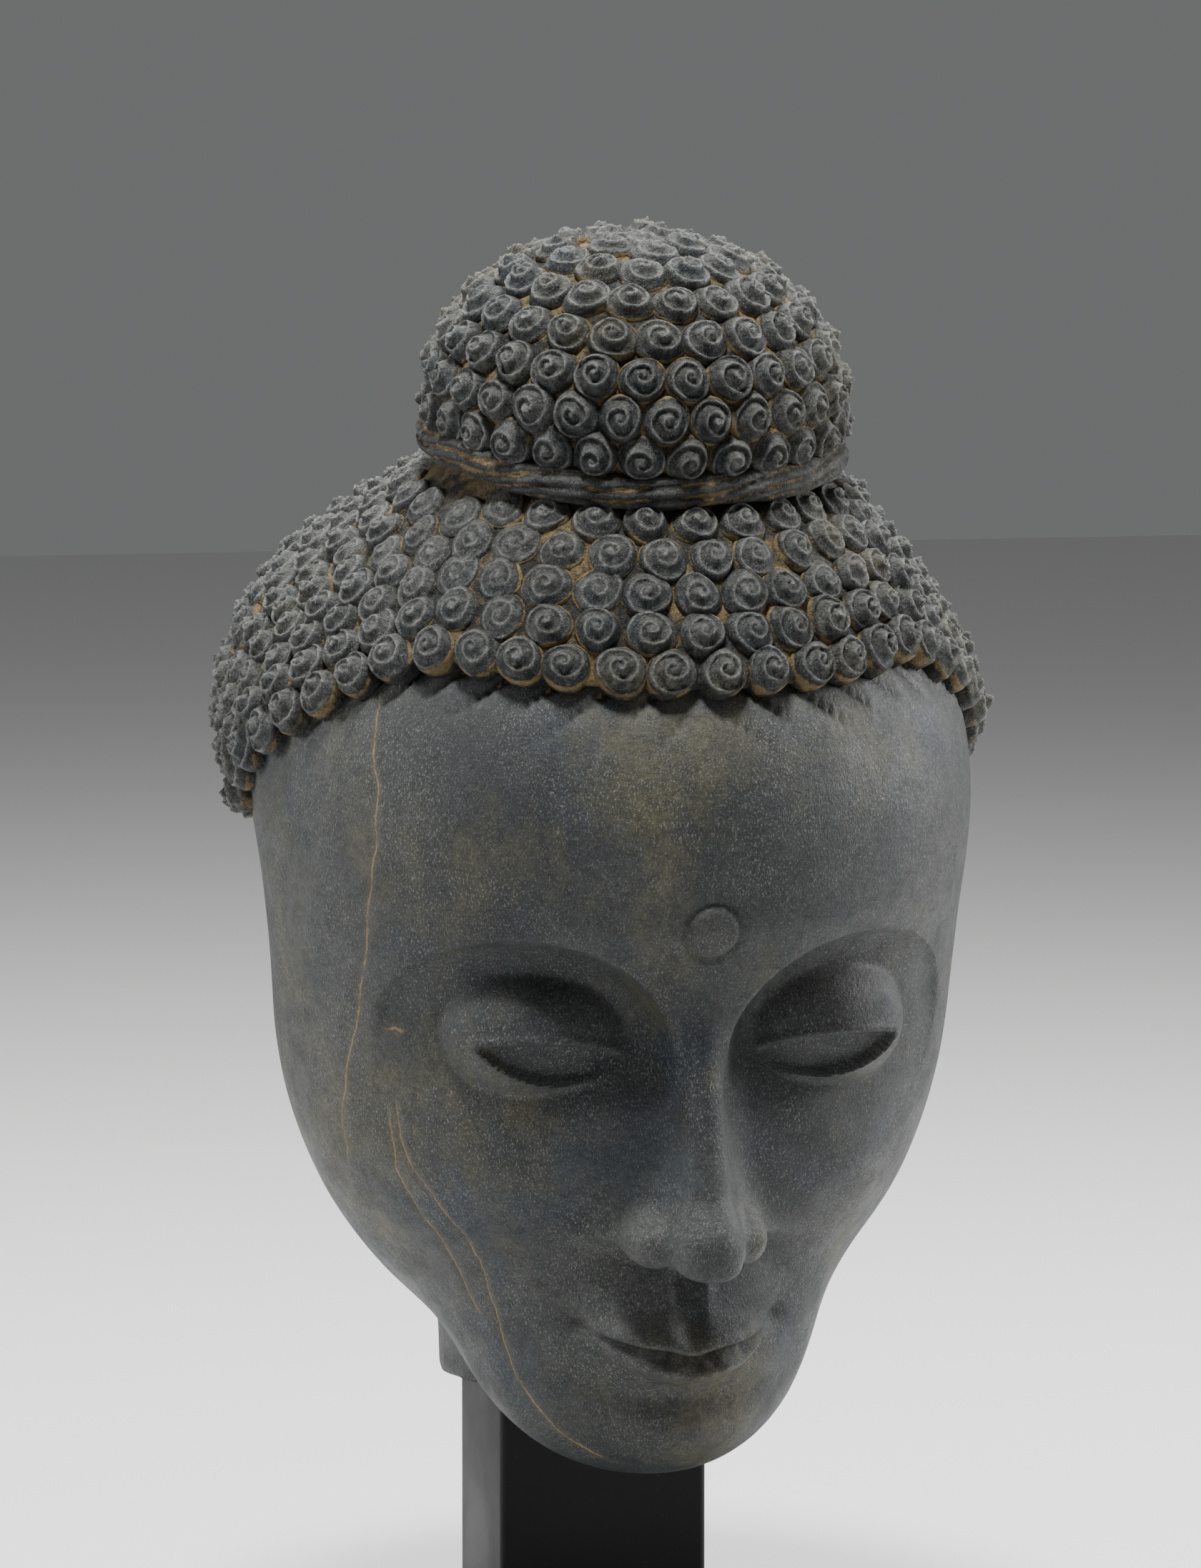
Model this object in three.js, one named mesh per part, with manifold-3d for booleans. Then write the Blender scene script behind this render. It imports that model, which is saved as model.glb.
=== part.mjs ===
// Carved stone head of a Buddha on its display mount, in millimetres, +Z up, the face towards -Y.
// The head is worked out in its own upright frame, with the chin's underside near z = 0 and the face towards -Y, as a
// smooth solid field (negative inside). Rays off its upright axis find the surface, the curls are raised on it, and the
// finished stone is then bowed forward and lifted onto a black post that stands on a flat foot.

import * as THREE from 'three';
import { ConvexHull } from 'three/addons/math/ConvexHull.js';
import { mergeVertices } from 'three/addons/utils/BufferGeometryUtils.js';
import Module from 'manifold-3d';

const wasm = await Module();
wasm.setup();

const DEG = Math.PI / 180;

// ---------------------------------------------------------------- driving sizes

const CHIN_CLEARANCE = 100; // chin's lowest point above the ground
const BOW = 12 * DEG; // the head is bowed forward by this
const BOW_PIVOT_Z = 175;
const CHIN_DROP = 16.3; // the bowed chin's lowest point below the upright frame's zero
const LIFT = CHIN_CLEARANCE + CHIN_DROP;

// Hair.
const SKULL = { centre: [0, 12, 235], radii: [129, 150, 92] };
const COLLAR = { centre: [0, -13, 256], radii: [104, 105, 100], blend: 14 };
const CURL_HEIGHT = 7.5;
const CURL_FOOT = 1; // the hollows between curls stand this far out of the scalp
const CURL_PITCH = 16.8; // along a row
const ROW_STEP = { front: 13.2, back: 14.8, from: 40 * DEG, to: 90 * DEG }; // between rows, up the scalp
const FRONT_ROWS = 5; // rows between the forehead and the topknot's band
const HAIRLINE = { height: 292.5, flatTo: 44 * DEG, end: 93 * DEG, drop: 65.5, power: 1.55, lowest: 206 };
const HAIR_EDGE = 9; // the skin ends this far below the first row's middles
const KNOT = { centre: [0, -7, 358.5], radii: [68, 68, 53.5], bandZ: 344.5, bandRadius: 68, bandThick: 5.5 };
const KNOT_RINGS = { count: 7, lowest: -4 * DEG, step: 13.8 * DEG }; // rings of curls up the topknot

// Face, on the usual proportions: the eyes half way up the whole head, the nose and mouth on thirds below.
const EYE = { x: 47.5, y: -100, z: 166, radii: [28, 22.5, 21], halfWidth: 24.5, lid: 3.6 };
const BROW = { x: 54, z: 163, halfWidth: 45, height: 41 };
const NOSE_BASE = 96;
const MOUTH = { z: 64, halfWidth: 34 };
const URNA = { z: 211, radius: 8.5, height: 2.3 };
const FACE_END = 104 * DEG; // the dressed skin stops here, where the ears were broken away

// Rays: their roots slide up the head's axis from low to high, and past either end they swing to straight down or up.
const RAY = { low: 92, high: 235, swing: 100, tip: 17 * DEG };
const RAY_FIRST = RAY.low - RAY.swing * (Math.PI / 2 - RAY.tip);
const RAY_LAST = RAY.high + (RAY.swing * Math.PI) / 2;

// Mount.
const SEAT_Z = CHIN_CLEARANCE + 20; // flat seat cut in the neck's stump
const SEAT_FRONT = -8;
const POST = { width: 75, depth: 60, y: 25, chamfer: 2 };
const FOOT = { width: 240, depth: 200, thick: 16, chamfer: 2 };
const GAP = 0.3; // left between pieces that touch

// ---------------------------------------------------------------- solid fields

const clamp = (v, lo, hi) => Math.min(Math.max(v, lo), hi);

/** 0 below lo and 1 above hi, with a smooth step between them. */
function ramp(lo, hi, v) {
  const t = clamp((v - lo) / (hi - lo), 0, 1);
  return t * t * (3 - 2 * t);
}

/** Near distance to an ellipsoid. */
function ball(p, centre, radii) {
  const q = p.map((v, i) => (v - centre[i]) / radii[i]);
  const near = Math.hypot(...q) + 1e-9;
  const slope = Math.hypot(...q.map((v, i) => v / radii[i])) + 1e-9;
  return (near * (near - 1)) / slope;
}

/** Distance to a rod from a to b whose radius runs from ra to rb. */
function rod(p, a, b, ra, rb) {
  const ab = b.map((v, i) => v - a[i]);
  const ap = p.map((v, i) => v - a[i]);
  const t = clamp((ap[0] * ab[0] + ap[1] * ab[1] + ap[2] * ab[2]) / (ab[0] ** 2 + ab[1] ** 2 + ab[2] ** 2), 0, 1);
  return Math.hypot(...ap.map((v, i) => v - t * ab[i])) - (ra + (rb - ra) * t);
}

/** Union of two fields, with a fillet of about k. */
function join(a, b, k) {
  const h = clamp(0.5 + (0.5 * (b - a)) / k, 0, 1);
  return b * (1 - h) + a * h - k * h * (1 - h);
}

/** What is inside both fields, with an edge softened over k. */
const both = (a, b, k) => -join(-a, -b, k);

/** Takes b out of a. */
const cut = (a, b, k) => both(a, -b, k);

/** A round swelling of height 1 at (cx, cz), as seen from the front. */
const swell = (x, z, cx, cz, wx, wz) => Math.exp(-(((x - cx) / wx) ** 2) - ((z - cz) / wz) ** 2);

// ---------------------------------------------------------------- the face

/** Height of an upright-frame point over the ground, once the head is bowed and lifted. */
const groundHeight = ([, y, z]) => BOW_PIVOT_Z + y * Math.sin(BOW) + (z - BOW_PIVOT_Z) * Math.cos(BOW) + LIFT;

/** Bald head: cranium, the broad oval of the face, the jaw and the stump of the neck, which stays upright. */
function baldHead(p) {
  let f = ball(p, [0, 12, 235], [123, 149, 91]);
  f = join(f, ball(p, [0, -18, 156], [118, 114, 140]), 40);
  f = join(f, ball(p, [0, -80, 41], [54, 48, 41]), 36);
  const neck = rod(p, [0, -14, -62], [0, 16, 105], 46, 54);
  return join(f, both(neck, SEAT_Z - 3 - groundHeight(p), 4), 18);
}

/** 1 on the lids and 0 in the half-closed almond between them. */
function lidCover(x, z) {
  const t = (x - EYE.x) / EYE.halfWidth;
  const corner = EYE.z - 3 + 2.2 * t;
  const open = clamp(1 - t * t, 0, 1);
  const upper = corner + 4.8 * open ** 0.75 * (1 - 0.15 * t);
  const lower = corner - 7.4 * open ** 0.85;
  return ramp(-1.2, 1.0, Math.max(z - upper, lower - z, (Math.abs(t) - 1) * EYE.halfWidth));
}

/** Depth of the hollow under the brow's arc: crisp at the arc, deepest beside the nose, gone below the eye. */
function browHollow(x, z) {
  const inside = 1 - Math.hypot((x - BROW.x) / BROW.halfWidth, (z - BROW.z) / BROW.height);
  if (inside <= 0) return 0;
  const depth = 15 - 12 * ramp(14, 96, x);
  return depth * ramp(136, 176, z) * (1 - Math.exp((-inside * BROW.height) / 3.2));
}

/** Height of the lips over the face, with the groove between them. */
function lips(x, z) {
  const s = clamp(x / MOUTH.halfWidth, 0, 1);
  const line = MOUTH.z - 1.9 * Math.exp(-((x / 6.5) ** 2)) + 3.4 * s ** 3;
  const upper = 11 * (1 - s * s) ** 0.85 - 2.4 * Math.exp(-((x / 4.5) ** 2));
  const lower = 13.5 * clamp(1 - (x / 31) ** 2, 0, 1) ** 0.75;
  const up = clamp((z - line) / Math.max(upper, 0.8), 0, 1);
  const down = clamp((line - z) / Math.max(lower, 0.8), 0, 1);
  const swellUp = 4.6 * clamp(upper / 9, 0, 1) * Math.sin(Math.PI * up ** 0.65);
  const swellDown = 6.4 * clamp(lower / 12, 0, 1) * Math.sin(Math.PI * down ** 0.9);
  const between = 1 - ramp(MOUTH.halfWidth - 4, MOUTH.halfWidth + 3, x);
  return swellUp + swellDown - 2 * Math.exp(-(((z - line) / 1.8) ** 2)) * between;
}

/** How far the modelling stands out of the bald head, read from the front. */
function modelling([px, y, z]) {
  const x = Math.abs(px);
  let out = lips(x, z) + 15 * swell(x, z, 0, 64, 44, 30) + 5 * swell(x, z, 60, 112, 30, 30);
  out += 9 * swell(x, z, 0, 24, 30, 18) - 5.4 * swell(x, z, 0, 45, 27, 7.5);
  out += 1.6 * swell(x, z, 40, 213, 36, 9) - browHollow(x, z);
  out += URNA.height * (1 - ramp(URNA.radius - 1, URNA.radius + 0.8, Math.hypot(x, z - URNA.z)));
  return out * ramp(40, 80, -y);
}

/** Straight nose: a rounded wedge that widens downwards, with its tip, wings and nostrils. */
function nose(p) {
  const [, y, z] = p;
  const x = Math.abs(p[0]);
  const down = clamp((192 - z) / 84, 0, 1.1);
  const behind = 122 + 33 * down + y; // depth behind the ridge's centre line
  const round = 6.8 + 2.2 * down * down;
  const flare = 0.42 + 0.22 * down * down;
  const side = (x - round - flare * clamp(behind, 0, 45)) / Math.hypot(1, flare);
  let f = behind > 0 ? side : Math.hypot(x, behind) - round;
  f = both(both(f, z - 198, 10), NOSE_BASE + 3 - z, 5);
  f = join(both(f, y + 80, 5), ball(p, [0, -156, 108], [11.6, 13, 11]), 7);
  f = join(f, ball([x, y, z], [15.6, -140, 104.5], [8.5, 13, 9.2]), 5);
  f = join(f, rod(p, [0, -154, 101], [0, -132, 96], 4.6, 5.5), 4);
  return cut(f, ball([x, y, z], [8.9, -148, 94.5], [4.4, 8.5, 5.2]), 2.5);
}

/** Bald head with its features. */
function skin(p) {
  const eye = ball([Math.abs(p[0]), p[1], p[2]], [EYE.x, EYE.y, EYE.z], EYE.radii);
  const lidded = eye - EYE.lid * lidCover(Math.abs(p[0]), p[2]);
  return join(join(baldHead(p) - modelling(p), nose(p), 9), lidded, 3);
}

/** The stone under the curls: the skull, rising in a collar to the topknot. */
function scalp(p) {
  return join(ball(p, SKULL.centre, SKULL.radii), ball(p, COLLAR.centre, COLLAR.radii), COLLAR.blend);
}

// ---------------------------------------------------------------- rays and the surface

/** Root and direction of the ray at azimuth turn (0 at the face) and place s along the axis. */
function ray(turn, s) {
  const root = clamp(s, RAY.low, RAY.high);
  const tip = -RAY.tip * (1 - ramp(150, 215, root));
  const lift = tip + (Math.min(s - RAY.low, 0) + Math.max(s - RAY.high, 0)) / RAY.swing;
  return { root, way: [Math.sin(turn) * Math.cos(lift), -Math.cos(turn) * Math.cos(lift), Math.sin(lift)] };
}

/** The point at distance r along a ray. */
const along = ({ root, way }, r) => [way[0] * r, way[1] * r, root + way[2] * r];

/** Distance at which a ray leaves the field for good: walk in from outside, then halve the last step. */
function reach(field, beam) {
  let r = 210;
  for (let v = field(along(beam, r)); v > 0 && r > 20; v = field(along(beam, r))) r -= clamp(v / 2, 0.4, 6);
  let [inner, outer] = [r, r + 6];
  for (let i = 0; i < 16; i++) {
    const middle = (inner + outer) / 2;
    if (field(along(beam, middle)) < 0) inner = middle;
    else outer = middle;
  }
  return inner;
}

/** Point of a field's surface at (turn, s), raised by out. */
function surface(field, turn, s, out = 0) {
  const beam = ray(turn, s);
  return along(beam, reach(field, beam) + out);
}

/** Place s along the axis at which the scalp at azimuth turn first passes a test that stays true further up. */
function placeWhere(turn, passed) {
  let [low, high] = [RAY.low, RAY.high + RAY.swing];
  for (let i = 0; i < 20; i++) {
    const s = (low + high) / 2;
    if (passed(surface(scalp, turn, s))) high = s;
    else low = s;
  }
  return low;
}

const placeAtHeight = (turn, z) => placeWhere(turn, (p) => p[2] > z);

/** Place s at which the scalp meets the band round the topknot's foot. */
const placeAtBand = (turn) =>
  placeWhere(turn, ([x, y]) => Math.hypot(x, y - KNOT.centre[1]) < KNOT.bandRadius + KNOT.bandThick / 2);

const bend = (turn) => Math.abs(Math.atan2(Math.sin(turn), Math.cos(turn))); // azimuth folded to 0..180 degrees

/** Height of the first row of curls: level over the forehead, falling past the temples, level round the nape. */
function firstRowHeight(turn) {
  const past = clamp((bend(turn) - HAIRLINE.flatTo) / (HAIRLINE.end - HAIRLINE.flatTo), 0, 1.4);
  return Math.max(HAIRLINE.height - HAIRLINE.drop * past ** HAIRLINE.power, HAIRLINE.lowest);
}

/** Slow uneven wave between -1 and 1, for broken stone. */
const uneven = ([x, y, z]) =>
  0.5 * Math.sin(0.11 * x + 0.07 * z + 1.3) * Math.cos(0.09 * y - 0.12 * z) + 0.5 * Math.sin(0.23 * z + 0.19 * y + 0.17 * x);

/** How far the break behind the face lies under the dressed surface: scars of the ears, and a rough nape. */
function breakDepth(turn, p) {
  const behind = ramp(FACE_END, FACE_END + 10 * DEG, bend(turn));
  const ear = (1 - ramp(138 * DEG, 150 * DEG, bend(turn))) * ramp(70, 95, p[2]);
  return behind * (2.5 + 4 * ear + (1.5 + 1.5 * ear) * uneven(p));
}

// ---------------------------------------------------------------- the curls' places

/** Steps up the scalp from the first row to the band at azimuth turn, with the length walked so far. */
function meridian(turn) {
  const first = placeAtHeight(turn, firstRowHeight(turn));
  const last = placeAtBand(turn);
  const steps = [];
  let before = null;
  let length = 0;
  for (let i = 0; i <= 48; i++) {
    const s = first + ((last - first) * i) / 48;
    const p = surface(scalp, turn, s);
    if (before) length += Math.hypot(p[0] - before[0], p[1] - before[1], p[2] - before[2]);
    steps.push({ s, length });
    before = p;
  }
  return steps;
}

const MERIDIANS = Array.from({ length: 91 }, (_, i) => meridian(i * 2 * DEG)); // the head is alike on both sides

/** Place s at the given length up one stored meridian. */
function climbOne(steps, length) {
  const next = clamp(steps.findIndex((step) => step.length >= length), -1, steps.length - 1);
  if (next <= 0) return steps.at(next).s;
  const [a, b] = [steps[next - 1], steps[next]];
  return a.s + ((b.s - a.s) * (length - a.length)) / (b.length - a.length);
}

/** Reads a value off the stored meridians on either side of azimuth turn, and blends the two. */
function betweenMeridians(turn, read) {
  const at = bend(turn) / (2 * DEG);
  const left = Math.min(Math.floor(at), MERIDIANS.length - 2);
  return read(MERIDIANS[left]) * (left + 1 - at) + read(MERIDIANS[left + 1]) * (at - left);
}

const climb = (turn, length) => betweenMeridians(turn, (steps) => climbOne(steps, length));

const climbLength = (turn) => betweenMeridians(turn, (steps) => steps.at(-1).length);

/** Distance between rows up the scalp: closer over the forehead. */
const rowStep = (turn) => ROW_STEP.front + (ROW_STEP.back - ROW_STEP.front) * ramp(ROW_STEP.from, ROW_STEP.to, bend(turn));

/** Curls at even steps round one row, whose height up the scalp is lengthAt(turn), where keep(turn) allows them. */
function curlRow(lengthAt, keep, phase) {
  const curls = [];
  let walked = phase * CURL_PITCH;
  let before = null;
  for (let turn = -Math.PI; turn < Math.PI; turn += 0.5 * DEG) {
    const s = climb(turn, lengthAt(turn));
    const p = surface(scalp, turn, s);
    if (before) walked += Math.hypot(p[0] - before[0], p[1] - before[1], p[2] - before[2]);
    before = p;
    if (walked < CURL_PITCH) continue;
    walked -= CURL_PITCH;
    if (keep(turn)) curls.push({ turn, s });
  }
  return curls;
}

/** All the skull's curls: rows that follow the hairline, then rings round the topknot that fill the sides and back. */
function skullCurls() {
  const curls = [];
  for (let row = 0; row < FRONT_ROWS; row++) {
    curls.push(...curlRow((turn) => row * rowStep(turn), () => true, (row % 2) / 2));
  }
  const longest = climbLength(Math.PI);
  for (let ring = 0; ring * ROW_STEP.back < longest; ring++) {
    const lengthAt = (turn) => climbLength(turn) - (ring + 0.5) * ROW_STEP.back;
    const keep = (turn) => lengthAt(turn) > (FRONT_ROWS - 0.38) * rowStep(turn);
    curls.push(...curlRow(lengthAt, keep, (ring % 2) / 2));
  }
  return curls;
}

// ---------------------------------------------------------------- closed nets of points

/** Triangles that join unit directions into one closed net. */
function netOf(directions) {
  const points = directions.map((d) => new THREE.Vector3(...d).normalize());
  points.forEach((point, i) => (point.index = i));
  return new ConvexHull().setFromPoints(points).faces.flatMap((face) => {
    const corners = [];
    let edge = face.edge;
    do {
      corners.push(edge.head().point.index);
      edge = edge.next;
    } while (edge !== face.edge);
    return corners.slice(2).map((corner, i) => [corners[0], corners[i + 1], corner]);
  });
}

/** Ball direction that stands for the ray (turn, s) in a net. */
function ballWay(turn, s) {
  const up = Math.PI * ((s - RAY_FIRST) / (RAY_LAST - RAY_FIRST) - 0.5);
  return [Math.sin(turn) * Math.cos(up), -Math.cos(turn) * Math.cos(up), Math.sin(up)];
}

/** Azimuth and place of a ball direction: ballWay turned round. */
function rayOf([x, y, z]) {
  const up = Math.atan2(z, Math.hypot(x, y));
  return { turn: Math.atan2(x, -y), s: RAY_FIRST + (up / Math.PI + 0.5) * (RAY_LAST - RAY_FIRST) };
}

/** A closed geometry from points and the triangles between them. */
function meshOf(points, triangles) {
  const geometry = new THREE.BufferGeometry();
  geometry.setAttribute('position', new THREE.Float32BufferAttribute(points.flat(), 3));
  geometry.setIndex(triangles.flat());
  return geometry;
}

/** The middles of a net's small triangles: the hollows between neighbouring curls. */
function hollows(ways, points, limit) {
  const apart = (a, b) => Math.hypot(...points[a].map((v, i) => v - points[b][i]));
  return netOf(ways)
    .filter(([a, b, c]) => Math.max(apart(a, b), apart(b, c), apart(c, a)) < limit)
    .map((corners) => [0, 1, 2].map((i) => corners.reduce((sum, c) => sum + ways[c][i], 0) / 3));
}

// ---------------------------------------------------------------- the stone head

const COARSE_GAP = 9; // between rows of points away from the features
const FEATURES_END = 46 * DEG;

/** Values from a to b whose spacing at v is gapAt(v). */
function spaced(a, b, gapAt) {
  const values = [a];
  while (values.at(-1) + gapAt(values.at(-1)) * 0.6 < b) values.push(values.at(-1) + gapAt(values.at(-1)));
  return values;
}

/** Gap between the skin's rows of points: close at the mouth, nose tip and eyes. */
function rowGap(s) {
  const fine = Math.max(swell(s, 0, 106, 0, 24, 1), swell(s, 0, 186, 0, 20, 1));
  return COARSE_GAP - (COARSE_GAP - 3.1) * clamp(fine * 1.5, 0, 1);
}

/** Gap, in radians, between points along a row of the skin: close over the features. */
const columnGap = (turn, s) => {
  const level = s > 60 && s < 245 ? 1 : 0;
  return (4.8 - 3.1 * level * (1 - ramp(26 * DEG, FEATURES_END, turn)) + 3 * ramp(80 * DEG, 110 * DEG, turn)) * DEG;
};

/** The dressed skin and the broken stone behind it, below the hair. */
function skinPoints() {
  const points = [];
  let lastFull = -Infinity; // between full rows, the close rows stop at the features' edge
  spaced(RAY_FIRST + 8, RAY.high + 70, rowGap).forEach((s, row) => {
    const full = s - lastFull > COARSE_GAP - 0.5;
    if (full) lastFull = s;
    const level = s > RAY.low ? 1 : clamp((s - RAY_FIRST) / (RAY.low - RAY_FIRST), 0.12, 1);
    const columns = spaced(((row % 2) * columnGap(0, s)) / 2 / level, Math.PI - 2 * DEG, (t) => columnGap(t, s) / level);
    for (const turn of columns.flatMap((t) => (t === 0 ? [0] : [-t, t]))) {
      if (!full && bend(turn) > FEATURES_END) continue;
      const flat = surface(skin, turn, s);
      if (flat[2] > firstRowHeight(turn) - HAIR_EDGE - 4) continue;
      points.push({ way: ballWay(turn, s), at: surface(skin, turn, s, -breakDepth(turn, flat)) });
    }
  });
  points.push({ way: [0, 0, -1], at: surface(skin, 0, RAY_FIRST) });
  return points;
}

/** The hair's lower edge: a row of points on the skin, at the scalloped foot of the first row of curls. */
function hairEdgePoints(firstRow) {
  return firstRow.map(({ turn }, i) => {
    const next = firstRow[(i + 1) % firstRow.length].turn;
    const middle = next > turn ? (turn + next) / 2 : turn + CURL_PITCH / 260;
    const s = placeAtHeight(middle, firstRowHeight(middle) - HAIR_EDGE);
    return { way: ballWay(middle, s), at: surface(skin, middle, s) };
  });
}

/** The hair on the skull: a peak at each curl and a hollow between each three. */
function hairPoints(curls) {
  const peaks = curls.map(({ turn, s }) => ({ way: ballWay(turn, s), at: surface(scalp, turn, s, CURL_HEIGHT) }));
  const crown = { way: [0, 0, 1], at: surface(scalp, 0, RAY_LAST) };
  const valleys = hollows(peaks.map((p) => p.way), peaks.map((p) => p.at), CURL_PITCH * 1.9).map((way) => {
    const { turn, s } = rayOf(way);
    return { way, at: surface(scalp, turn, s, CURL_FOOT) };
  });
  return [...peaks, ...valleys, crown];
}

/** Points of the scalp inside the topknot's footprint, where no curl stands. */
function crownRing() {
  const s = climb(0, climbLength(0)) + 12;
  return Array.from({ length: 16 }, (_, i) => {
    const turn = (i / 16) * 2 * Math.PI - Math.PI + 1 * DEG;
    return { way: ballWay(turn, s), at: surface(scalp, turn, s) };
  });
}

/** The head's solid without its topknot. */
function skullGeometry() {
  const firstRow = curlRow(() => 0, () => true, 0);
  const points = [...skinPoints(), ...hairEdgePoints(firstRow), ...hairPoints(skullCurls()), ...crownRing()];
  return meshOf(points.map((p) => p.at), netOf(points.map((p) => p.way)));
}

// ---------------------------------------------------------------- the topknot

/** Point of the topknot's dome in direction (turn, up), raised by out. */
function knotPoint(turn, up, out) {
  const [rx, ry, rz] = KNOT.radii.map((r) => r + out);
  const across = Math.cos(up);
  return [
    KNOT.centre[0] + rx * Math.sin(turn) * across,
    KNOT.centre[1] - ry * Math.cos(turn) * across,
    KNOT.centre[2] + rz * Math.sin(up),
  ];
}

/** Curls in level rings up the dome, each ring half a curl on from the one below, and one on top. */
function knotCurls() {
  const curls = [];
  for (let ring = 0; ring < KNOT_RINGS.count; ring++) {
    const up = KNOT_RINGS.lowest + ring * KNOT_RINGS.step;
    const count = Math.max(Math.round((2 * Math.PI * (KNOT.radii[0] + 4) * Math.cos(up)) / (CURL_PITCH * 0.96)), 5);
    for (let i = 0; i < count; i++) curls.push({ turn: ((i + (ring % 2) / 2) / count) * 2 * Math.PI, up });
  }
  curls.push({ turn: 0, up: Math.PI / 2 });
  return curls;
}

/** Ball direction for a place on the dome. */
const domeWay = (turn, up) => [Math.sin(turn) * Math.cos(up), -Math.cos(turn) * Math.cos(up), Math.sin(up)];

/** The topknot's solid: curled dome, the band round its foot and a root inside the skull. */
function knotGeometry() {
  const peaks = knotCurls().map(({ turn, up }) => ({ way: domeWay(turn, up), at: knotPoint(turn, up, CURL_HEIGHT) }));
  const valleys = hollows(peaks.map((p) => p.way), peaks.map((p) => p.at), CURL_PITCH * 1.9).map((way) => ({
    way,
    at: knotPoint(Math.atan2(way[0], -way[1]), Math.atan2(way[2], Math.hypot(way[0], way[1])), CURL_FOOT),
  }));
  const rings = [
    { up: -20, radius: KNOT.bandRadius - 2, z: KNOT.bandZ + 5 },
    { up: -28, radius: KNOT.bandRadius + KNOT.bandThick, z: KNOT.bandZ + 3 },
    { up: -38, radius: KNOT.bandRadius + KNOT.bandThick, z: KNOT.bandZ - 3 },
    { up: -46, radius: KNOT.bandRadius - 1, z: KNOT.bandZ - 8 },
    { up: -60, radius: KNOT.bandRadius - 10, z: KNOT.bandZ - 26 },
  ];
  const foot = rings.flatMap(({ up, radius, z }, ring) =>
    Array.from({ length: 32 }, (_, i) => {
      const turn = ((i + (ring % 2) / 2) / 32) * 2 * Math.PI;
      return {
        way: domeWay(turn, up * DEG),
        at: [radius * Math.sin(turn), KNOT.centre[1] - radius * Math.cos(turn), z],
      };
    }),
  );
  const root = { way: [0, 0, -1], at: [0, KNOT.centre[1], KNOT.bandZ - 26] };
  const points = [...peaks, ...valleys, ...foot, root];
  return meshOf(points.map((p) => p.at), netOf(points.map((p) => p.way)));
}

// ---------------------------------------------------------------- solids and the scene

/** A manifold solid from a closed geometry. */
function solidOf(geometry) {
  const bare = geometry.clone();
  bare.deleteAttribute('normal');
  bare.deleteAttribute('uv');
  const merged = mergeVertices(bare);
  return new wasm.Manifold(
    new wasm.Mesh({
      numProp: 3,
      vertProperties: new Float32Array(merged.attributes.position.array),
      triVerts: new Uint32Array(merged.index.array),
    }),
  );
}

/** A flat-shaded geometry from a manifold solid. */
function geometryOf(solid) {
  const { vertProperties, triVerts } = solid.getMesh();
  const geometry = new THREE.BufferGeometry();
  geometry.setAttribute('position', new THREE.BufferAttribute(new Float32Array(vertProperties), 3));
  geometry.setIndex(new THREE.BufferAttribute(new Uint32Array(triVerts), 1));
  geometry.computeVertexNormals();
  return geometry;
}

/** Bows the upright head forward about its pivot and lifts it to its place over the ground. */
function placeHead(geometry) {
  geometry.translate(0, 0, -BOW_PIVOT_Z);
  geometry.rotateX(BOW);
  geometry.translate(0, 0, BOW_PIVOT_Z + LIFT);
  return geometry;
}

/** The whole stone: skull and topknot as one solid, with a flat seat cut in the stump of the neck. */
function stoneHead() {
  const head = solidOf(placeHead(skullGeometry())).add(solidOf(placeHead(knotGeometry())));
  const below = new THREE.BoxGeometry(400, 300, 300);
  below.translate(0, SEAT_FRONT + 150, SEAT_Z - 150);
  return geometryOf(head.subtract(solidOf(below)));
}

/** A block with its upright edges chamfered, standing on z = 0. */
function block(width, depth, height, chamfer) {
  const [w, d] = [width / 2, depth / 2];
  const outline = new THREE.Shape(
    [
      [w - chamfer, -d],
      [w, chamfer - d],
      [w, d - chamfer],
      [w - chamfer, d],
      [chamfer - w, d],
      [-w, d - chamfer],
      [-w, chamfer - d],
      [chamfer - w, -d],
    ].map(([x, y]) => new THREE.Vector2(x, y)),
  );
  return new THREE.ExtrudeGeometry(outline, { depth: height, bevelEnabled: false });
}

const schist = new THREE.MeshStandardMaterial({ color: 0x4a5054, roughness: 0.72, metalness: 0 });
const blackPaint = new THREE.MeshStandardMaterial({ color: 0x101114, roughness: 0.55, metalness: 0.1 });

/** A named mesh at the given place. */
function piece(name, geometry, material, x = 0, y = 0, z = 0) {
  const mesh = new THREE.Mesh(geometry, material);
  mesh.name = name;
  mesh.position.set(x, y, z);
  return mesh;
}

const group = new THREE.Group();
const postFoot = FOOT.thick + GAP;
group.add(
  piece('stone_head', stoneHead(), schist),
  piece('mount_post', block(POST.width, POST.depth, SEAT_Z - GAP - postFoot, POST.chamfer), blackPaint, 0, POST.y, postFoot),
  piece('mount_foot', block(FOOT.width, FOOT.depth, FOOT.thick, FOOT.chamfer), blackPaint),
);

export default group;
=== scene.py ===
"""Carved schist head of a Buddha on its black display mount: the visual model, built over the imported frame.

The stone is one smooth solid field, worked out in millimetres in the head's own upright frame. Rays off the head's axis
find its surface, the relief is added along them, and every point is then bowed, lifted and turned into metres.
"""

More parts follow.
